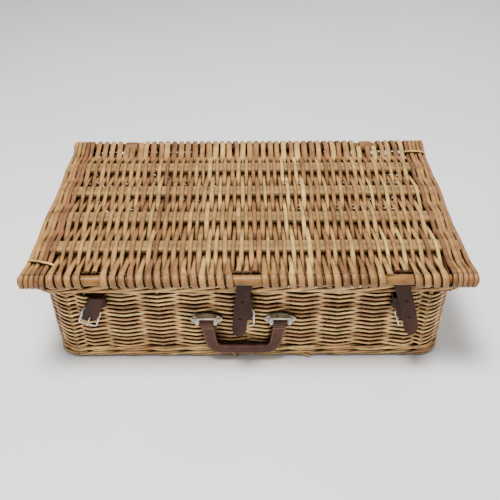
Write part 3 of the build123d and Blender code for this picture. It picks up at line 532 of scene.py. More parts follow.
def weave_depth(s):
    """Swing from the middle of the wall, from 1 at one upright to -1 at the next."""
    s = s % WALL.length
    count = len(STATIONS)
    for index in range(count):
        start = STATIONS[index]
        end = STATIONS[(index + 1) % count]
        if end <= start:
            end += WALL.length
        here = s if s >= start else s + WALL.length
        if start <= here <= end:
            t = (here - start) / (end - start)
            sharp = SHARPNESS[index] * (1 - t) + SHARPNESS[(index + 1) % count] * t
            bend = (1 - sharp) * math.cos(math.pi * t) + sharp * (1 - 2 * t)
            return bend if index % 2 == 0 else -bend
    return 0.0


def wall_samples():
    """Distances round the wall at which rods are drawn, with every upright and corner end among them."""
    marks = sorted({*STATIONS, *[round(start, 3) for _, start, _ in WALL.sections], WALL.length})
    if marks[0] > 0:
        marks.insert(0, 0.0)
    samples = []
    for a, b in zip(marks, marks[1:]):
        steps = max(2, round((b - a) / 5.4))
        samples += [a + (b - a) * i / steps for i in range(steps)]
    samples.append(WALL.length)
    return samples


def siding():
    """Rows of willow laid before one upright and behind the next, in separate rods."""
    samples = np.array(wall_samples())
    depth = np.array([weave_depth(s) for s in samples])
    places = np.array([WALL.at(s) for s in samples])
    ends = [i for i, s in enumerate(samples) if any(abs(s - t) < 0.01 for t in STATIONS)]
    sides = {name: Rods(7) for name, _, _ in WALL.sections}
    wander_phase = [random.uniform(0, 6.28) for _ in range(4)]
    for row in range(ROW_COUNT):
        sign = 1 if row % 2 == 0 else -1
        height = SIDING_BOTTOM + FIRST_ROW + row * ROW_PITCH
        lift = row / ROW_COUNT
        swing = ROW_SWING * random.uniform(0.93, 1.05)
        inside = [i for i in ends if sign * depth[i] < -0.9]
        cuts = sorted(random.sample(inside, 4))
        radii = np.zeros(len(samples))
        shade_at = np.zeros(len(samples))
        starts = [0] + cuts + [len(samples) - 1]
        shades = []
        for a, b in zip(starts, starts[1:]):
            shades.append(random_shade(0.52, 0.24))
            # The last rod of a row has the shade that was drawn first
            shade_at[a:b + 1] = shades[0] if b == starts[-1] else shades[-1]
            big = random.uniform(0.98, 1.12)
            small = random.uniform(0.84, 0.95)
            radii[a:b + 1] = np.linspace(big, small, b - a + 1) * ROD_RADIUS
        jitter = np.interp(
            samples, STATIONS + [WALL.length + STATIONS[0]],
            [random.uniform(-0.45, 0.45) for _ in STATIONS] + [0.0],
        )
        wave = (
            0.9 * np.sin(samples / WALL.length * 2 * math.pi * 3 + wander_phase[0])
            + 0.6 * np.sin(samples / WALL.length * 2 * math.pi * 7 + wander_phase[1])
        ) * (0.3 + lift)
        # Rods ride a little lower where they are pushed out round an upright
        z = height + jitter + wave - 0.75 * sign * depth
        z = np.clip(z, SIDING_BOTTOM + 0.4, SIDING_TOP - 0.6)
        points = beside_route(places, sign * depth * swing, z)
        for name, start, end in WALL.sections:
            first = int(np.argmin(np.abs(samples - start)))
            last = int(np.argmin(np.abs(samples - end)))
            pieces = [first] + [c for c in cuts if first < c < last] + [last]
            for a, b in zip(pieces, pieces[1:]):
                chosen = slice(a, b + 1)
                shade = float(shade_at[(a + b) // 2])
                sides[name].add(
                    points[chosen], radii[chosen], radii[chosen] * 1.06, shade,
                    start=float(samples[a]) + row * 37,
                )
    for name, rods in sides.items():
        node = name + "_siding"
        rods.build("woven_" + node, WEAVE, "root", [node], "willow_weave")


def stakes():
    """Uprights between the rows, in threes at the back, and the stouter corner posts."""
    groups = {
        "front_stakes": [(x, -HALF_Y) for x in LONG_STAKES],
        "rear_stakes": [(x, HALF_Y) for x in LONG_STAKES],
        "left_stakes": [(-HALF_X, y) for y in SHORT_STAKES],
        "right_stakes": [(HALF_X, y) for y in SHORT_STAKES],
    }
    for node, places in groups.items():
        rods = Rods(8)
        if node == "rear_stakes":
            spread = (-REAR_STAKE_SPREAD, 0.0, REAR_STAKE_SPREAD)
            places = [(x + beside, y) for x, y in places for beside in spread]
        for x, y in places:
            heights = np.linspace(*STAKE_ENDS, 9)
            bend = [random.uniform(-0.25, 0.25) for _ in heights]
            points = [(x + b, y, z) for b, z in zip(bend, heights)]
            rods.add(points, np.linspace(3.4, 3.0, 9), np.linspace(3.0, 2.8, 9), random.random(), (0, 1, 0))
        rods.build(node + "_round", STAKE, "root", [node], "willow_stake")
    posts = Rods(10)
    for sx in (-1, 1):
        for sy in (-1, 1):
            for x, y in ((SPAN_X, HALF_Y), (HALF_X, SPAN_Y)):
                heights = np.linspace(SIDING_BOTTOM + 0.1, SIDING_TOP - 0.1, 8)
                points = [(sx * x, sy * y, z) for z in heights]
                posts.add(points, POST_RADIUS, POST_RADIUS, random.random(), (0, 1, 0))
    posts.build("corner_posts_round", STAKE, "root", ["corner_posts"], "willow_stake")


def waling():
    """Two rounds at the foot, each of three stout rods before two uprights and behind one."""
    rods = Rods(9)
    samples = np.array(wall_samples())
    count = len(STATIONS)
    for ring, level in enumerate(WALING_LEVELS):
        for strand in range(3):
            uprights = range(-1, count + 2)
            keys = [STATIONS[i % count] + WALL.length * (i // count) for i in uprights]
            phases = [(i + strand + ring) % 3 for i in uprights]
            marks = np.sort(np.concatenate([samples, keys]))
            marks = marks[(marks >= 0) & (marks <= WALL.length)]
            out = smooth_between(keys, [WALING_OUTSETS[p] for p in phases], marks)
            rise = smooth_between(keys, [WALING_RISES[p] for p in phases], marks)
            places = np.array([WALL.at(s) for s in marks])
            radius = WALING_RADIUS + 0.2 * np.sin(marks / 170 + strand * 2)
            points = beside_route(places, out, level + rise)
            shade = WALING_SHADES[(strand + ring) % 3] + random.uniform(-0.12, 0.12)
            rods.add(points, radius, radius, shade, start=300 * strand)
    for x, reach in BROKEN_ENDS:
        route = [(x, -HALF_Y - 1.5, 7), (x + 7, -HALF_Y - 5, 5), (x + reach, -HALF_Y - 8, 3.4)]
        rods.add(smooth_route(route, 4), 2.1, 1.9, 0.8)
    rods.build("waling_rods", WEAVE, "root", ["bottom_waling"], "willow_weave")


def smooth_between(keys, values, at):
    """Values at places between keys, eased at each key."""
    keys = np.asarray(keys, float)
    values = np.asarray(values, float)
    index = np.clip(np.searchsorted(keys, at, side="right") - 1, 0, len(keys) - 2)
    t = (at - keys[index]) / np.maximum(keys[index + 1] - keys[index], 1e-6)
    t = np.clip(t, 0, 1)
    eased = 0.6 * t * t * (3 - 2 * t) + 0.4 * t
    return values[index] * (1 - eased) + values[index + 1] * eased


def fill_border(loop, names):
    """A bundle of rod tips in the middle of the rim, in the darkest tones as painted shade between the rim
    rods, and two rods that close it below.
    """
    for name, low, high in loop.sections:
        samples = np.linspace(low, high, 40 if high - low > 100 else 14)
        places = np.array([loop.at(min(max(s, low + 0.01), high - 0.01)) for s in samples])
        rods = names[name]
        for strand in range(CORE_STRANDS):
            angle = strand * 2 * math.pi / CORE_STRANDS + samples / 90
            points = beside_route(places, CORE_RING * np.cos(angle), BORDER_Z + CORE_RING * np.sin(angle))
            # The core rods take the darkest tones: painted shade in the gaps between the rim rods
            rods.add(points, CORE_ROD_RADIUS, CORE_ROD_RADIUS, 0.04 * strand, start=strand * 60)
        for out in LOW_ROD_OUTSETS:
            points = beside_route(places, out, BORDER_Z - LOW_ROD_DROP)
            rods.add(points, CORE_ROD_RADIUS, CORE_ROD_RADIUS, 0.3, start=out)


def border():
    """The rim: rods turned down over one another, each rising slowly as it goes round the rim."""
    loop = Loop(HALF_X + BORDER_OUTSET, HALF_Y + BORDER_OUTSET, BORDER_CORNER)
    turn = BORDER_STRAND_SPAN * loop.length / BORDER_STRANDS
    names = {name: Rods(8) for name, _, _ in loop.sections}
    fill_border(loop, names)
    steps = 54
    for strand in range(BORDER_STRANDS):
        start = strand * loop.length / BORDER_STRANDS + random.uniform(-4, 4)
        shade = random_shade(0.55, 0.3)
        size = random.uniform(0.9, 1.04)
        samples = start + turn * np.arange(steps + 1) / steps
        cuts = []
        for _, a, _ in loop.sections:
            cuts += [a + wrap * loop.length for wrap in (-1, 0, 1, 2)]
        extra = [c for c in cuts if samples[0] < c < samples[-1]]
        samples = np.sort(np.concatenate([samples, extra]))
        fraction = (samples - start) / turn
        angle = math.radians(-150) + 2 * math.pi * fraction
        radius = BORDER_ROD_RADIUS * size * (1 - 0.3 * fraction)
        ring = BORDER_RING + 0.5 * np.sin(samples / 61 + strand)
        places = np.array([loop.at(s) for s in samples])
        points = beside_route(places, ring * np.cos(angle), BORDER_Z + ring * np.sin(angle))
        edges = [0] + [int(np.argmin(np.abs(samples - c))) for c in sorted(extra)] + [len(samples) - 1]
        for a, b in zip(edges, edges[1:]):
            if b - a < 1:
                continue
            middle = ((samples[a] + samples[b]) / 2) % loop.length
            for name, low, high in loop.sections:
                if low <= middle <= high:
                    chosen = slice(a, b + 1)
                    names[name].add(points[chosen], radius[chosen], radius[chosen], shade, start=samples[a])
                    break
    for name, rods in names.items():
        node = name + "_border"
        rods.build("rolled_" + node, BORDER, "root", [node], "willow_border")


def base():
    """The floor: thin rods across, over and under the lengthwise sticks."""
    edge = HALF_Y - WALL_HALF_THICKNESS - FLOOR_STICK_INSET
    rows = np.linspace(-edge, edge, FLOOR_STICK_ROWS).tolist()
    for node, chosen, (radius, level) in (
        ("base_inner_sticks", rows[1:-1], INNER_STICK),
        ("base_outer_sticks", [rows[0], rows[-1]], OUTER_STICK),
    ):
        rods = Rods(10)
        for y in chosen:
            reach = 297 if abs(y) < 140 else 288
            xs = np.linspace(-reach, reach, 14)
            points = [(x, y + random.uniform(-0.3, 0.3), level) for x in xs]
            rods.add(points, radius, radius, random.random())
        rods.build(node + "_round", STICK, "root", [node], "willow_stick")
    rods = Rods(6)
    inner_corner = CORNER - WALL_HALF_THICKNESS
    for index in range(FLOOR_ROD_COUNT):
        x = (index - (FLOOR_ROD_COUNT - 1) / 2) * FLOOR_ROD_PITCH
        sign = 1 if index % 2 else -1
        half = HALF_Y - 6
        if abs(x) > SPAN_X:
            half -= inner_corner - math.sqrt(max(0.0, inner_corner ** 2 - (abs(x) - SPAN_X) ** 2))
        keys = [-half] + rows + [half]
        levels = [FLOOR_ROD_END_Z]
        for place in range(FLOOR_STICK_ROWS):
            outer = place in (0, FLOOR_STICK_ROWS - 1)
            top = sum(OUTER_STICK if outer else INNER_STICK) + 1.3
            levels.append(top if (place % 2 == 0) == (sign > 0) else 1.3)
        levels.append(FLOOR_ROD_END_Z)
        keys_in = [k for k in keys if abs(k) <= half]
        levels_in = [v for k, v in zip(keys, levels) if abs(k) <= half]
        ys = np.linspace(-half, half, 61)
        zs = smooth_between(keys_in, levels_in, ys)
        points = [(x + 0.6 * math.sin(y / 40 + index), y, z) for y, z in zip(ys, zs)]
        rods.add(points, 3.1, FLOOR_ROD_HALF_THICKNESS, random_shade(0.5, 0.25))
    rods.build("woven_floor", WEAVE, "root", ["base_weave"], "willow_weave")


# Lid

def wrap_middles():
    return [(i - (WRAP_COUNT - 1) / 2) * 2 * PASS_PITCH for i in range(WRAP_COUNT)]


def near_gap(x, width, gaps):
    """Whether a rod of this width would run into one of the gaps."""
    return any(abs(x - gap) < (gap_width + width) / 2 for gap, gap_width in gaps)


def pass_run(x, first_up, end_x_front, end_x_rear, front_end, rear_end, lean):
    """Points, half widths and half thicknesses of one rod from front to back."""
    keys = [-STICK_Y] + BAND_YS + [STICK_Y]
    sign = 1 if first_up else -1
    reach = [STICK_RADIUS + WRAP_REACH] + [BAND_RADIUS + 2.0] * 4 + [STICK_RADIUS + WRAP_REACH]
    heights = [sign * (-1) ** i * r for i, r in enumerate(reach)]
    ys = np.linspace(front_end, rear_end, 59)
    zs = smooth_between(keys, heights, ys)
    sideways = (
        lean * ys / STICK_Y
        + random.uniform(0.4, 1.3) * np.sin(ys / random.uniform(32, 64) + random.uniform(0, 6.28))
    )
    toward_front = np.clip((-ys - STICK_Y + FRONT_MERGE) / FRONT_MERGE, 0, 1) ** 1.5
    toward_rear = np.clip((ys - STICK_Y + REAR_MERGE) / REAR_MERGE, 0, 1) ** 1.5
    merged = np.maximum(toward_front, toward_rear)
    xs = x + sideways * (1 - toward_front) * (1 - toward_rear)
    xs = xs + (end_x_front - x) * toward_front + (end_x_rear - x) * toward_rear
    above = np.clip(zs / 8, 0, 1)
    below = np.clip(-zs / 8, 0, 1)
    size = random.uniform(0.76, 1.16)
    last_gap = np.clip((ys - STICK_Y + 60) / 20, 0, 1)
    half = (LID_ROD_HALF_WIDTH - 0.3 * above) * size + 1.8 * below + 1.5 * last_gap
    half = half + (WRAP_HALF_WIDTH - half) * merged
    thick = LID_ROD_HALF_THICKNESS * size ** 0.5
    thick = thick + (2.1 - thick) * merged
    points = np.stack([xs, ys, LID_Z + zs], axis=1)
    return points, half, thick


def turn_round_stick(side, x_from, x_to):
    """Half a turn of flattened rod round the outer side of a lid stick, from above it to below."""
    angles = np.linspace(math.pi / 2, -math.pi / 2, 15)
    reach = STICK_RADIUS + WRAP_REACH
    xs = np.linspace(x_from, x_to, len(angles))
    return [
        (x, side * (STICK_Y + reach * math.cos(a)), LID_Z + reach * math.sin(a)) for x, a in zip(xs, angles)
    ]


def lid_weave():
    """The lid's rods, in pairs that share a turn round the front and the rear stick."""
    weave = Rods(8)
    front = Rods(8)
    rear = Rods(8)
    drift = 0.0
    for number, middle in enumerate(wrap_middles()):
        drift = 0.8 * drift + random.uniform(-1.2, 1.2)
        shade = random_shade(0.46, 0.24)
        other = random_shade(shade, 0.16)
        front_open = near_gap(middle, WRAP_CLEARANCE, FRONT_GAPS)
        rear_open = near_gap(middle, WRAP_CLEARANCE, REAR_GAPS)
        for side, tone in ((-1, shade), (1, other)):
            x = middle + side * PASS_PITCH / 2
            open_front = near_gap(x, ROD_CLEARANCE, FRONT_GAPS)
            open_rear = near_gap(x, ROD_CLEARANCE, REAR_GAPS)
            start = OPEN_FRONT_ENDS[side > 0] if open_front else -STICK_Y
            end = OPEN_REAR_END if open_rear else STICK_Y
            front_x = x if open_front else middle + side * WRAP_SLANT
            rear_x = x if open_rear else middle + side * WRAP_SLANT
            points, half, thick = pass_run(
                x, side < 0, front_x, rear_x, start, end, drift + random.uniform(-1.4, 1.4)
            )
            weave.add(points, half, thick, tone, start=number * 53)
        if not front_open:
            points = turn_round_stick(-1, middle - WRAP_SLANT, middle + WRAP_SLANT)
            add_wrap(front, points, -1, shade)
        if not rear_open:
            points = turn_round_stick(1, middle + WRAP_SLANT, middle - WRAP_SLANT)
            add_wrap(rear, points, 1, other)
    for side in (-1, 1):
        for index in range(SIDE_ROD_COUNT):
            x = side * (STICK_HALF_LENGTH - SIDE_ROD_INSET - SIDE_ROD_PITCH * (index + 0.5))
            tone = random_shade(0.42, 0.2)
            add_side_rod(weave, x, index, tone)
            for end in (-1, 1):
                points = turn_round_stick(end, x + SIDE_ROD_SHIFT, x - SIDE_ROD_SHIFT)
                add_wrap(front if end < 0 else rear, points, end, tone, SIDE_WRAP_HALF_WIDTH)
    weave.build("lid_weave_rods", LID_WEAVE, "lid", ["lid_weave", "lid_side_rods"], "willow_weave")
    front.build("front_stick_wraps", LID_WEAVE, "lid", ["lid_front_wraps"], "willow_weave")
    rear.build("rear_stick_wraps", LID_WEAVE, "lid", ["lid_rear_wraps"], "willow_weave")


def add_side_rod(weave, x, index, tone):
    """A stout rod at the lid's end, carried round both sticks and sagging between them and the bands."""
    turn = STICK_RADIUS + WRAP_REACH
    rise = BAND_RADIUS - SIDE_ROD_SINKS[index]
    gap = BAND_PITCH / 2
    for sign in (1, -1):
        keys = [-STICK_Y, -STICK_Y + gap] + BAND_YS + [STICK_Y - gap, STICK_Y]
        bands = [rise if ((place + index) % 2 == 0) == (sign > 0) else -rise for place in range(4)]
        near, far = [SIDE_ROD_SAG * sign if b * sign > 0 else 0.0 for b in (bands[0], bands[-1])]
        heights = [sign * turn, near] + bands + [far, sign * turn]
        ys = np.linspace(-STICK_Y, STICK_Y, 61)
        zs = smooth_between(keys, heights, ys)
        xs = x + SIDE_ROD_SHIFT * sign + 0.4 * np.sin(ys / 47 + index)
        points = np.stack([xs, ys, LID_Z + zs], axis=1)
        weave.add(points, SIDE_ROD_HALF_WIDTH, SIDE_ROD_HALF_THICKNESS, tone, start=index * 71)


def add_wrap(rods, points, side, tone, half=None):
    """One turn of flattened rod round a stick."""
    width = half or WRAP_HALF_WIDTH * random.uniform(0.88, 1.06)
    ups = [(0.0, y - side * STICK_Y, z - LID_Z) for _, y, z in points]
    rods.add(points, width, WRAP_HALF_THICKNESS, WRAP_SHADE * tone, ups, start=random.uniform(0, 400))


def lid_sticks():
    for side, node in ((-1, "lid_front_stick"), (1, "lid_rear_stick")):
        rods = Rods(14)
        tip = STICK_HALF_LENGTH - np.array([0.0, 0.8, 3.0])
        xs = np.concatenate([-tip, np.linspace(-322, 322, 30), tip[::-1]])
        radii = np.full(len(xs), STICK_RADIUS - 0.15)
        radii[:3] = (5.2, 6.8, 7.7)
        radii[-3:] = (7.7, 6.8, 5.2)
        radii[3:-3] += np.array([0.1 * math.sin(x / 31) for x in xs[3:-3]])
        points = [(x, side * STICK_Y, LID_Z + 0.15 * math.sin(x / 90)) for x in xs]
        rods.add(points, radii, radii, 0.55)
        rods.build(node + "_round", STICK, "lid", [node], "willow_stick")


def lid_bands():
    """Four pairs of pale rods across the lid, butt beside tip."""
    for number, y in enumerate(BAND_YS):
        rods = Rods(12)
        for half in (-1, 1):
            xs = np.linspace(-BAND_HALF_LENGTH, BAND_HALF_LENGTH, 40)
            taper = np.linspace(6.9, 6.7, 40)
            if (half > 0) == (number % 2 == 0):
                taper = taper[::-1]
            phase = random.uniform(0, 6.28)
            points = [
                (x, y + half * (BAND_SPACING / 2 - 0.3) + 0.2 * math.sin(x / 70 + phase), LID_Z) for x in xs
            ]
            ends = np.clip((BAND_HALF_LENGTH - np.abs(xs)) / 30, 0, 1)
            rods.add(
                points, taper, taper * (0.5 + 0.3 * ends), random.uniform(0.3, 0.7),
                start=number * 90, square=4.5,
            )
        node = "lid_cross_sticks_%d" % (number + 1)
        rods.build(node + "_round", BAND, "lid", [node], "peeled_band")


def corner_ties():
    """Thin rods that tie the lid's outer rods down at two corners."""
    rods = Rods(8)
    for flip, route in ((-1, FRONT_TIE), (1, REAR_TIE)):
        points = [(flip * x, flip * y, LID_Z + z) for x, y, z in route]
        rods.add(smooth_route(points, 6), 2.1, 1.9, 0.9)
    rods.build("corner_ties", LID_WEAVE, "lid", ["lid_corner_ties"], "willow_weave")


def smooth_route(points, steps):
    """A smooth curve through points."""
    p = np.asarray(points, float)
    p = np.vstack([2 * p[0] - p[1], p, 2 * p[-1] - p[-2]])
    curve = []
    for i in range(1, len(p) - 2):
        a, b, c, d = p[i - 1], p[i], p[i + 1], p[i + 2]
        for j in range(steps):
            t = j / steps
            curve.append(
                0.5 * (2 * b + (c - a) * t + (2 * a - 5 * b + 4 * c - d) * t * t
                       + (3 * b - a - 3 * c + d) * t ** 3)
            )
    curve.append(p[-2])
    return np.array(curve)


# Straps and buckles

def cut_out(obj, cutters):
    """Take the shapes of other meshes out of a piece, then drop them."""
    for cutter in cutters:
        cutter.hide_render = True
        modifier = obj.modifiers.new("cut", "BOOLEAN")
        modifier.operation = "DIFFERENCE"
        modifier.solver = "EXACT"
        modifier.object = cutter
    bpy.context.view_layer.update()
    evaluated = obj.evaluated_get(bpy.context.evaluated_depsgraph_get())
    cut_mesh = bpy.data.meshes.new_from_object(evaluated)
    obj.modifiers.clear()
    obj.data = cut_mesh
    smooth_faces(cut_mesh, 40)
    for cutter in cutters:
        bpy.data.objects.remove(cutter)


def hole_cutter(place, turn):
    bpy.ops.mesh.primitive_cylinder_add(
        vertices=20, radius=HOLE_RADIUS * MM, depth=12 * MM, location=[v * MM for v in place], rotation=turn
    )
    return bpy.context.object


def box_cutter(place, size, turn):
    bpy.ops.mesh.primitive_cube_add(size=1, location=[v * MM for v in place], rotation=turn)
    cutter = bpy.context.object
    cutter.scale = [v * MM for v in size]
    return cutter


def tongue_point(x, sway, down):
    """A place on the middle line of a lid strap, so far down from its hinge."""
    share = down / TONGUE_LENGTH
    lean = math.radians(TONGUE_LEAN)
    sideways = TONGUE_LENGTH * math.sin(math.radians(sway)) * (1 - (1 - max(share, 0)) ** 1.35)
    fall = down * math.cos(math.radians(sway))
    return (x + sideways, TONGUE_HINGE_Y - fall * math.sin(lean), TONGUE_HINGE_Z - fall * math.cos(lean))


def tongues():
    for name, x, sway in TONGUES:
        rods = Rods(20)
        straight = TONGUE_LENGTH - TONGUE_TIP
        rounding = np.sin(np.linspace(0.12, 1.0, 10) * math.pi / 2)
        downs = np.concatenate([np.linspace(-1.0, straight, 24), straight + TONGUE_TIP * rounding])
        widths = []
        for down in downs:
            left = (down - straight) / (TONGUE_TIP + 0.4)
            widths.append(STRAP_HALF_WIDTH * math.sqrt(max(0.02, 1 - max(left, 0) ** 2)))
        points = [tongue_point(x, sway, down) for down in downs]
        rods.add(points, widths, TONGUE_HALF_THICKNESS, 0.5, (0, -1, 0), square=4.5)
        strap = rods.build(name + "_strap_end", STRAP, name, [name], "strap_leather")
        turn = (math.pi / 2 - math.radians(TONGUE_LEAN), 0, 0)
        cut_out(strap, [hole_cutter(tongue_point(x, sway, down), turn) for down in TONGUE_HOLES])


def buckle_point(x, sway, across, outward, up):
    """A place on a leaning buckle strap, measured from the middle of its top edge."""
    a = math.radians(sway)
    settle = 1 - math.exp(-4 * max(-up, 0) / BUCKLE_DROP)
    return (
        x + across * math.cos(a) - up * math.sin(a) * settle,
        BUCKLE_HINGE_Y + outward,
        BUCKLE_TOP_Z + across * math.sin(a) + up * math.cos(a),
    )


def buckle_straps():
    for name, x, sway in BUCKLES:
        reach = BUCKLE_BAR_OUT
        middle = []
        ups = []
        for up in np.linspace(0.6, -BUCKLE_DROP, 14):
            middle.append((0.0, up))
            ups.append((0, -1, 0))
        for angle in np.linspace(math.pi, 2 * math.pi, 9)[1:]:
            middle.append((reach + reach * math.cos(angle), -BUCKLE_DROP + reach * math.sin(angle)))
            ups.append((0, math.cos(angle), math.sin(angle)))
        for share in np.linspace(0, 1, 8)[1:]:
            middle.append((reach * 2 - 2.55 * min(1, share * 1.8), -BUCKLE_DROP + FOLD_LEG * share))
            ups.append((0, 1, 0))
        points = [buckle_point(x, sway, 0, out, up) for out, up in middle]
        rods = Rods(20)
        rods.add(points, STRAP_HALF_WIDTH, 1.2, 0.5, ups, square=5)
        body = name + "_buckle_strap"
        strap = rods.build(name + "_hanging_strap", STRAP, body, [body], "strap_leather")
        slot = box_cutter(
            buckle_point(x, sway, 0, reach, -BUCKLE_DROP), (5, 11.8, 11.8), (0, -math.radians(sway), 0)
        )
        cut_out(strap, [slot])


def tilted(x, sway, across, outward, up):
    """A place on a buckle, measured from its middle bar along the buckle's own directions."""
    t = math.radians(BUCKLE_TILT)
    return buckle_point(
        x, sway, across, BUCKLE_BAR_OUT + outward * math.cos(t) + up * math.sin(t),
        -BUCKLE_DROP - outward * math.sin(t) + up * math.cos(t),
    )


def buckles():
    for name, x, sway in BUCKLES:
        outline = []
        half, top, bottom, corner = 13.2, 13.0, -12.0, 2.6
        for cx, cz, first in (
            (half - corner, bottom + corner, -90), (half - corner, top - corner, 0),
            (corner - half, top - corner, 90), (corner - half, bottom + corner, 180),
        ):
            for step in range(7):
                angle = math.radians(first + 15 * step)
                outline.append((cx + corner * math.cos(angle), cz + corner * math.sin(angle)))
        outline = [(0, bottom)] + outline + [(0, bottom)]
        frame_rods = Rods(12)
        points = [tilted(x, sway, u, 0, w) for u, w in outline]
        frame_rods.add(points, 1.2, 1.2, 0.5, (0, -1, 0))
        bar = [tilted(x, sway, u, 0, 0) for u in (-half, 0, half)]
        frame_rods.add(bar, 1.15, 1.15, 0.5, (0, -1, 0))
        body = name + "_buckle_frame"
        frame_rods.build(name + "_buckle_wire", WIRE, body, [body], "buckle_wire")

        finger = Rods(12)
        turn = np.linspace(0, 2 * math.pi, 17)
        ring = [tilted(x, sway, 0, 2.15 * math.cos(a), 2.15 * math.sin(a)) for a in turn]
        finger.add(ring, 0.8, 0.95, 0.5, (1, 0, 0))
        route = [(-1.9, 0.8), (-2.6, -1.4), (-2.75, -6), (-2.65, -11), (-2.5, -13.9)]
        points = smooth_route([tilted(x, sway, 0, out, up) for out, up in route], 4)
        finger.add(points, np.linspace(1.0, 0.85, len(points)), 0.9, 0.5, (1, 0, 0))
        body = name + "_buckle_prong"
        finger.build(name + "_buckle_pin", WIRE, body, [body], "buckle_wire")


# Handle

def handle_line():
    """The middle line of the handle from pin to pin, as places across and down, with half widths."""
    half = HANDLE_PIN_SPACING / 2
    low = HANDLE_DROP - HANDLE_GRIP_HALF
    corner_x = half - HANDLE_TAPER
    bend = 17.0
    run = [(-half + HANDLE_TAPER * t, -low * t) for t in np.linspace(0, 1 - bend / low, 10)]
    start = run[-1]
    end = (-corner_x + bend, -low)
    for t in np.linspace(0, 1, 9)[1:]:
        a = (1 - t) ** 2
        b = 2 * t * (1 - t)
        c = t * t
        run.append((a * start[0] + b * -corner_x + c * end[0], a * start[1] + b * -low + c * end[1]))
    run += [(x, -low) for x in np.linspace(end[0], 0, 7)[1:]]
    mirrored = [(-x, z) for x, z in reversed(run[:-1])]
    line = run + mirrored
    widths = []
    for x, z in line:
        share = min(1.0, -z / low)
        widths.append(HANDLE_ARM_HALF + (HANDLE_GRIP_HALF - HANDLE_ARM_HALF) * share)
    return line, widths


def handle():
    line, widths = handle_line()
    rods = Rods(20)
    points = [(HANDLE_X + x, PIN_Y, HANDLE_PIN_Z + z) for x, z in line]
    rods.add(points, widths, 2.9, 0.5, (0, -1, 0), square=3.4)
    for x in PIN_XS:
        turn = np.linspace(0, 2 * math.pi, 25)
        ring = [(x, PIN_Y - 3.3 * math.cos(a), HANDLE_PIN_Z + 3.3 * math.sin(a)) for a in turn]
        ups = [(0, -math.cos(a), math.sin(a)) for a in turn]
        rods.add(ring, HANDLE_ARM_HALF, 1.4, 0.5, ups, square=5)
    rods.build("leather_handle", GRIP, "handle", ["handle_grip"], "handle_leather")

    stitches = Rods(6)
    path = np.array(line)
    length = np.concatenate([[0], np.cumsum(np.linalg.norm(np.diff(path, axis=0), axis=1))])
    count = int((length[-1] - 16) / STITCH_PITCH)
    for edge in (-1, 1):
        for index in range(count):
            at = 8 + STITCH_PITCH * (index + 0.5)
            ends = []
            for place in (at - STITCH_LENGTH / 2, at, at + STITCH_LENGTH / 2):
                here = np.array([np.interp(place, length, path[:, k]) for k in (0, 1)])
                ahead = np.array([np.interp(place + 1, length, path[:, k]) for k in (0, 1)])
                way = (ahead - here) / np.linalg.norm(ahead - here)
                out = (np.interp(place, length, widths) - 2.2) * edge
                spot = here + out * np.array([-way[1], way[0]])
                ends.append((HANDLE_X + spot[0], PIN_Y - 2.45, HANDLE_PIN_Z + spot[1]))
            stitches.add(ends, (0.3, 0.48, 0.3), (0.3, 0.42, 0.3), 0.5, (0, -1, 0))
    for side, x in zip((-1, 1), PIN_XS):
        for drop in (7.5, 12.0):
            shift = -side * HANDLE_TAPER * drop / HANDLE_DROP
            bar = [(x + shift + u, PIN_Y - 2.75, HANDLE_PIN_Z - drop) for u in (-9.6, 0, 9.6)]
            stitches.add(bar, 0.55, 0.55, 0.3, (0, -1, 0))
    stitches.build("handle_stitching", THREAD, "handle", [], "handle_leather")


def screws():
    rods = Rods(16)
    face = -(FRONT_FACE + PLATE_STANDOFF + PLATE_THICKNESS)
    cutters = []
    for pin_x in PIN_XS:
        for end in (-1, 1):
            x = pin_x + end * SCREW_SPACING / 2
            depths = (2.6, 0, -0.7, -1.2, -1.6, -1.8)
            radii = (1.3, 3.5, 3.3, 2.6, 1.6, 0.5)
            points = [(x, face + d, HANDLE_PIN_Z) for d in depths]
            rods.add(points, radii, radii, 0.5)
            turn = (0, math.radians(random.uniform(10, 170)), 0)
            cutters.append(box_cutter((x, face - 1.6, HANDLE_PIN_Z), (9, 1.4, 0.9), turn))
    heads = rods.build("screw_heads", FIXING, "root", ["handle_screws"], "fixing_metal")
    cut_out(heads, cutters)


# The carried-over leather and metal

def finish_nodes():
    """Looks for the pieces that come from the CAD as they are."""
    tongue_loops = ["centre_tongue_loop", "right_tongue_loop"]
    strap_loops = ["left_strap_loop", "centre_strap_loop", "right_strap_loop"]
    for material, names in (
        (STAKE, ["lid_anchor_rods"]),
        (PLATE, ["left_handle_plate", "right_handle_plate"]),
        (FIXING, ["handle_pins"]),
        (STRAP, tongue_loops + strap_loops),
        (HINGE, ["left_hinge_strap", "right_hinge_strap"]),
    ):
        for name in names:
            materials = bpy.data.objects[name].data.materials
            materials.clear()
            materials.append(material)


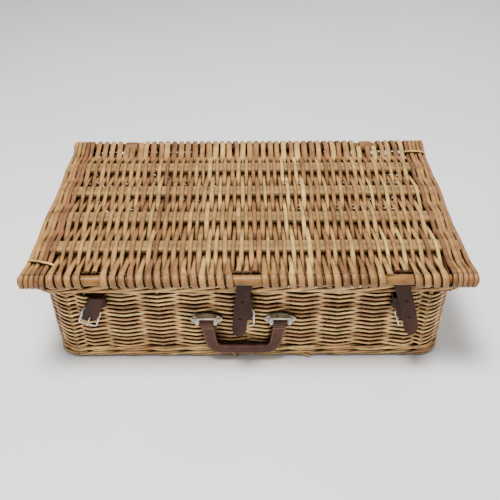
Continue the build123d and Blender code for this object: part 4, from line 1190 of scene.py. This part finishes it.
# Setting

def floor_and_light():
    material, tree, shader = new_material("pale floor")
    cloud = noise(tree, add_node(tree, "ShaderNodeTexCoord"), "Object", 2.2, 7)
    stops = [(0.3, (0.87, 0.88, 0.875)), (0.62, (0.92, 0.925, 0.92))]
    link(tree, colours(tree, cloud, stops), "Color", shader, "Base Color")
    shader.inputs["Roughness"].default_value = 0.55
    bpy.ops.mesh.primitive_plane_add(size=9, location=(0, 0, 0))
    floor = bpy.context.object
    floor.name = "floor"
    floor.data.materials.append(material)

    world = bpy.data.worlds.new("studio")
    bpy.context.scene.world = world
    world.use_nodes = True
    background = world.node_tree.nodes["Background"]
    background.inputs["Color"].default_value = (0.93, 0.96, 1.0, 1)
    background.inputs["Strength"].default_value = 0.33

    for name, place, aim, size, power, colour in (
        ("overhead", (-0.3, -0.35, 2.2), (0, -0.05, 0.1), 0.7, 92, (1.0, 0.985, 0.96)),
        ("front", (0.5, -2.2, 1.3), (0, -0.1, 0.1), 0.8, 9, (1.0, 0.98, 0.95)),
        ("rear", (0.9, 1.6, 1.6), (0, 0.1, 0.15), 1.2, 14, (0.98, 0.99, 1.0)),
    ):
        lamp = bpy.data.lights.new(name, "AREA")
        lamp.size = size
        lamp.energy = power
        lamp.color = colour
        lamp_object = bpy.data.objects.new(name, lamp)
        bpy.context.scene.collection.objects.link(lamp_object)
        lamp_object.location = place
        direction = Vector(aim) - Vector(place)
        lamp_object.rotation_euler = direction.to_track_quat("-Z", "Y").to_euler()


def camera():
    data = bpy.data.cameras.new("camera")
    data.lens = 46.8
    data.sensor_width = 36
    view = bpy.data.objects.new("camera", data)
    bpy.context.scene.collection.objects.link(view)
    view.location = (0.006, -0.896, 0.793)
    view.rotation_euler = Euler((math.radians(90 - 38.3), math.radians(0.3), 0))
    bpy.context.scene.camera = view


siding()
stakes()
waling()
border()
base()
lid_sticks()
lid_bands()
lid_weave()
corner_ties()
tongues()
buckle_straps()
buckles()
handle()
screws()
finish_nodes()
floor_and_light()
camera()
